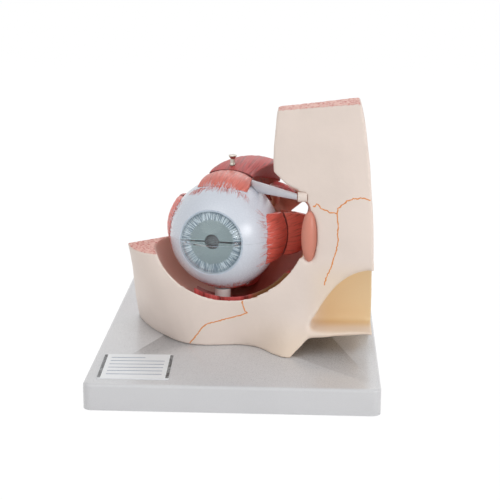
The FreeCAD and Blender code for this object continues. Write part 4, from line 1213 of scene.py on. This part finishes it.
class EYEMODEL_OT_fixed_muscles(PieceOperator, bpy.types.Operator):
    """Muscles that stay in the orbit"""
    bl_idname = "eye_model.fixed_muscles"
    bl_label = "Fixed Muscles"

    def build(self, colours, sizes):
        # Painted shade: dark along the seams against the muscle ends, darker red on the arch's flank, and
        # the brown of the shaded wall on the upper oblique muscle under the tendon.
        dark = shade(colours.muscle_dark, 0.5)
        straight = muscle_paint(
            "fixed_muscle_paint", colours.muscle_dark, colours.muscle_dusky, colours.muscle_pale,
            [("seam_shade", dark), ("flank_shade", shade(colours.muscle_painted_shade, 0.36)), ("wall_shade", colours.bone_hollow_shade)])
        inner = muscle_paint(
            "inner_muscle_paint", shade(colours.muscle_inner, 0.5), colours.muscle_inner,
            colours.muscle_pale, [("seam_shade", dark)])
        for name in ("superior_rectus", "medial_rectus", "lateral_rectus", "inferior_rectus",
                     "superior_oblique"):
            piece = remesh(copy_of(name + "_belly", name + "_muscle"), sizes.muscle_step, 3)
            furrow(piece, sizes.fibre_relief / MM, *FIBRES["fixed_muscle_paint"][1:3])
            self.masks(piece, name)
            finish_piece(piece, "stand", "fixed_muscle", inner if name == "medial_rectus" else straight,
                         name + "_belly", crease=75.0)
        self.sling(colours, sizes)

    def masks(self, piece, name):
        """Masks of painted shade: along the seam against the muscle's end, on the arch's flank, and on the
        muscle under the tendon, in the brown of the shaded wall.
        """
        points = points_of(piece)
        ends = [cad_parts[end[0]] for end in MUSCLE_ENDS if end[0].startswith(name)]
        if name == "superior_oblique":
            # Painted shade: the lower part of the muscle under the tendon takes the brown of the shaded
            # wall behind it.
            set_mask(piece, "wall_shade", zone(points, z=(119.0, 116.0)))
        if name == "superior_rectus":
            # Painted shade on the arch's flank that faces the nose and lies in shadow.
            facing = ramp(normals_of(piece)[:, 0], 0.25, 0.55)
            set_mask(piece, "flank_shade", 0.8 * facing * zone(points, x=(2.0, 12.0)))
        if ends:
            set_mask(piece, "seam_shade", closeness(points, surface_of(*ends), 0.7, 1.5))

    def sling(self, colours, sizes):
        """Lower oblique muscle, slung under the eyeball."""
        # Painted shade: the deep mask darkens the sling muscle behind its front edge, where the eyeball
        # shades it, and on its nasal side.
        paint = muscle_paint(
            "sling_muscle_paint", colours.muscle_dark, colours.muscle_dusky, colours.muscle_pale,
            [("deep", colours.muscle_painted_shade), ("rim", shade(colours.bone_olive, 0.5))])
        piece = remesh(copy_of("inferior_oblique", "sling_muscle"), sizes.muscle_step, 4)
        points = points_of(piece)
        set_mask(piece, "deep", np.maximum(zone(points, y=(-47.0, -44.5)), zone(points, x=(6.0, 16.0))))
        # The rim mask lays the olive of the nasal rim, darkened to half as painted shade.
        set_mask(piece, "rim", zone(points, x=(4.0, 14.0), y=(-46.4, -47.6)))
        finish_piece(piece, "stand", "fixed_muscle", paint, "inferior_oblique", crease=75.0)


class EYEMODEL_OT_lock_pin(PieceOperator, bpy.types.Operator):
    """Turned pin that stands in the upper muscle"""
    bl_idname = "eye_model.lock_pin"
    bl_label = "Lock Pin"

    def build(self, colours, sizes):
        low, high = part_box("lock_pin")
        middle = (low + high) / 2 / MM
        points, faces = revolved(PIN_PROFILE, PIN_CORNERS, (middle.x, middle.y, high.z / MM))
        nickel = painted("nickel", colours.nickel, shade(colours.nickel, 0.82), Metallic=1.0)
        finish_piece(new_object("turned_pin", points, faces), "lock_pin", "pin_nickel", nickel, "lock_pin")


class EYEMODEL_OT_white_coat(PieceOperator, bpy.types.Operator):
    """Upper and lower halves of the white coat, and the alignment pegs"""
    bl_idname = "eye_model.white_coat"
    bl_label = "White Coat"

    def build(self, colours, sizes):
        front = math.degrees(math.acos(-LIMBUS_Y / EYE_RADIUS))
        inner = EYE_RADIUS - SCLERA_THICKNESS
        bore = LIMBUS_RADIUS - LIMBUS_LAND
        inner_front = math.degrees(math.asin(bore / inner))
        profile = arc(EYE_RADIUS, 0.0, front, 180.0, 96)
        profile += reversed(arc(inner, 0.0, inner_front, 180.0, 60))
        profile.append((LIMBUS_Y, bore))
        paint = painted("sclera_paint", colours.sclera, shade(colours.sclera, 0.96),
                        Coat_Weight=0.35, Coat_Roughness=0.2)
        for half, side, shell, _ in HALVES:
            piece = revolved_half("white_coat_" + half, profile, side, HALF_GAP, COAT_CORNERS)
            finish_piece(piece, shell, "sclera", paint, "sclera_" + half)
        steel = painted("peg_steel", colours.nickel, shade(colours.nickel, 0.8), Metallic=1.0)
        copied_piece("alignment_pegs", "guide_pegs", "lower_shell", "pin_nickel", steel)


class EYEMODEL_OT_cornea(PieceOperator, bpy.types.Operator):
    """Clear window in two halves"""
    bl_idname = "eye_model.cornea"
    bl_label = "Cornea"

    def build(self, colours, sizes):
        centre = LIMBUS_Y - CORNEA_BULGE + CORNEA_RADIUS
        edge_y = LIMBUS_Y - 0.05
        outer = math.degrees(math.asin(LIMBUS_RADIUS / CORNEA_RADIUS))
        inner_radius = CORNEA_RADIUS - CORNEA_THICKNESS
        inner = math.degrees(math.acos((centre - edge_y) / inner_radius))
        profile = arc(CORNEA_RADIUS, centre, 0.0, outer, 48)
        profile[-1] = (edge_y, profile[-1][1])
        profile += reversed(arc(inner_radius, centre, 0.0, inner, 40))
        clear = clear_plastic("cornea_plastic")
        for half, side, shell, _ in HALVES:
            lift = WINDOW_LIFT if half == "upper" else 0.0
            piece = revolved_half("clear_window_" + half, profile, side, WINDOW_GAP, WINDOW_CORNERS, lift)
            finish_piece(piece, shell, "cornea", clear, "cornea_" + half)


class EYEMODEL_OT_iris(PieceOperator, bpy.types.Operator):
    """Iris in two halves, with radial folds"""
    bl_idname = "eye_model.iris"
    bl_label = "Iris"

    def build(self, colours, sizes):
        back = IRIS_FRONT_Y + IRIS_THICKNESS
        radii = [PUPIL_RADIUS + (IRIS_RADIUS - PUPIL_RADIUS) * i / 40 for i in range(41)]
        profile = [(IRIS_FRONT_Y + (0.25 if i in (0, 40) else 0.0), r) for i, r in enumerate(radii)]
        profile += [(back, IRIS_RADIUS), (back, PUPIL_RADIUS)]
        material, tree, principled = shader("iris_paint", Roughness=0.5)
        finish = use_group(tree, iris_strokes(), {
            "Vector": in_eye_mm(tree), "Dark": colours.iris_dark, "Light": colours.iris_light,
            "Inner": colours.iris_inner, "Outer Radius": IRIS_RADIUS})
        lay_finish(tree, principled, finish, 0.25)
        for half, side, _, coat in HALVES:
            lift = WINDOW_LIFT if half == "upper" else 0.0
            piece = revolved_half("iris_disc_" + half, profile, side, WINDOW_GAP, IRIS_CORNERS, lift)
            self.fold(piece)
            finish_piece(piece, coat, "iris", material, "iris_" + half)

    def fold(self, piece):
        """Radial folds in the outer zone, which lies a little behind the inner one."""
        local = in_eye_frame(points_of(piece))
        radius = np.hypot(local[:, 0], local[:, 2])
        turn = np.arctan2(local[:, 0], local[:, 2])
        between_rims = (radius > PUPIL_RADIUS + IRIS_RIM) & (radius < IRIS_RADIUS - IRIS_RIM)
        on_face = (local[:, 1] < IRIS_FRONT_Y + 0.1) & between_rims
        folds = IRIS_FOLD_DEPTH * np.sin(turn * IRIS_FOLDS) * ramp(radius, *IRIS_FOLD_RISE)
        step = IRIS_STEP_DEPTH * ramp(radius, *IRIS_STEP_RISE)
        local[:, 1] -= np.where(on_face, folds - step, 0.0)
        set_points(piece, eye_points(local))


class EYEMODEL_OT_inner_coats(PieceOperator, bpy.types.Operator):
    """Middle coat and retina, in halves"""
    bl_idname = "eye_model.inner_coats"
    bl_label = "Inner Coats"

    def build(self, colours, sizes):
        for coat, title, scale, width in INNER_COATS:
            material, tree, principled = shader(title + "_paint", Roughness=0.45, Coat_Weight=0.2)
            finish = use_group(tree, painted_vessels(), {
                "Vector": in_mm(tree), "Ground": getattr(colours, coat), "Vessel": colours.vessel,
                "Scale": scale, "Width": width})
            lay_finish(tree, principled, finish, 0.1)
            for half, _, _, body in HALVES:
                copied_piece("%s_%s" % (coat, half), "%s_%s" % (title, half), body, coat, material)


class EYEMODEL_OT_lens(PieceOperator, bpy.types.Operator):
    """Lens and vitreous body"""
    bl_idname = "eye_model.lens"
    bl_label = "Lens and Vitreous Body"

    def build(self, colours, sizes):
        copied_piece("lens", "clear_lens", "lens", "lens_clear", clear_plastic("lens_plastic"))
        copied_piece("vitreous_body", "clear_vitreous", "vitreous", "vitreous_clear",
                     clear_plastic("vitreous_plastic"))


class EYEMODEL_OT_muscle_ends(PieceOperator, bpy.types.Operator):
    """Muscle ends on the eyeball with their tufts"""
    bl_idname = "eye_model.muscle_ends"
    bl_label = "Muscle Ends"

    def build(self, colours, sizes):
        paint = muscle_paint("eye_muscle_paint", shade(colours.muscle_bright, 0.62), colours.muscle_bright,
                             colours.muscle_pale)
        upper = muscle_paint("upper_end_paint", shade(colours.muscle_salmon, 0.66), colours.muscle_salmon,
                             shade(colours.muscle_pale, 1.3))
        strand = painted("strand_paint", shade(colours.muscle_salmon, 0.9),
                         shade(colours.muscle_bright, 0.8))
        pale = painted("pale_strand_paint", shade(colours.sclera, 0.98), colours.muscle_pale)
        coats = {shell: bpy.data.objects["white_coat_" + half] for half, _, shell, _ in HALVES}
        for order, (node_name, body, turn, width, side) in enumerate(MUSCLE_ENDS):
            piece = remesh(copy_of(node_name, node_name.replace("_stub", "_end")), 0.45 * MM, 2)
            furrow(piece, sizes.fibre_relief / MM, *FIBRES["eye_muscle_paint"][1:3])
            halved = node_name.endswith(("_upper", "_lower"))
            if halved:
                close_gap(piece, side)
            finish_piece(piece, body, "eye_muscle", upper if order == 0 else paint, node_name, crease=75.0)
            surface = surface_of(piece, coats[body])
            draw = random.Random(100 + order)
            for name, amount, material, outward in (("red_tufts_%d", sizes.red_tufts, strand, True),
                                                    ("white_tufts_%d", sizes.white_tufts, pale, False)):
                add_tufts(name % order, surface, draw, turn, width, side if halved else 0, body,
                          int(amount * (0.5 if halved else 1.0)), material, outward)


class EYEMODEL_OT_tendon(PieceOperator, bpy.types.Operator):
    """White strap of the upper oblique muscle"""
    bl_idname = "eye_model.tendon"
    bl_label = "Tendon"

    def build(self, colours, sizes):
        paint = painted("tendon_paint", colours.tendon, shade(colours.tendon, 0.93), Coat_Weight=0.2)
        softened_piece("superior_oblique_tendon", "oblique_tendon", "upper_shell", "tendon", paint, 0.4, 6,
                       crease=75.0)


class EYEMODEL_OT_nerve(PieceOperator, bpy.types.Operator):
    """Optic nerve in the orbit and its stump on the eyeball"""
    bl_idname = "eye_model.nerve"
    bl_label = "Optic Nerve"

    def build(self, colours, sizes):
        paint = painted("nerve_paint", colours.nerve, shade(colours.nerve, 0.85))
        softened_piece("optic_nerve", "nerve", "stand", "nerve", paint, 0.5, 2)
        softened_piece("optic_nerve_stump", "nerve_stump", "lower_shell", "nerve", paint, 0.4, 1)


class EYEMODEL_PT_panel(bpy.types.Panel):
    """Lists the pieces of the eye model"""
    bl_label = "Eye Model"
    bl_idname = "EYEMODEL_PT_panel"
    bl_space_type = "VIEW_3D"
    bl_region_type = "UI"
    bl_category = "Eye Model"

    def draw(self, context):
        layout = self.layout
        for operator in OPERATORS:
            layout.operator(operator.bl_idname)
        for group_name in ("eye_model_sizes", "eye_model_colours"):
            settings = getattr(context.scene, group_name)
            for key in settings.__annotations__:
                layout.prop(settings, key)


OPERATORS = (
    EYEMODEL_OT_stage, EYEMODEL_OT_base, EYEMODEL_OT_card, EYEMODEL_OT_bone, EYEMODEL_OT_tear_sac,
    EYEMODEL_OT_fixed_muscles, EYEMODEL_OT_lock_pin, EYEMODEL_OT_white_coat, EYEMODEL_OT_cornea,
    EYEMODEL_OT_iris, EYEMODEL_OT_inner_coats, EYEMODEL_OT_lens, EYEMODEL_OT_muscle_ends,
    EYEMODEL_OT_tendon, EYEMODEL_OT_nerve)
CLASSES = (EyeModelColours, EyeModelSizes) + OPERATORS + (EYEMODEL_PT_panel,)


def register():
    for each in CLASSES:
        bpy.utils.register_class(each)
    bpy.types.Scene.eye_model_colours = PointerProperty(type=EyeModelColours)
    bpy.types.Scene.eye_model_sizes = PointerProperty(type=EyeModelSizes)


def unregister():
    del bpy.types.Scene.eye_model_sizes
    del bpy.types.Scene.eye_model_colours
    for each in reversed(CLASSES):
        bpy.utils.unregister_class(each)


def main():
    register()
    for operator in OPERATORS:
        prefix, name = operator.bl_idname.split(".")
        getattr(getattr(bpy.ops, prefix), name)()
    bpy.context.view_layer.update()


if __name__ == "__main__":
    main()
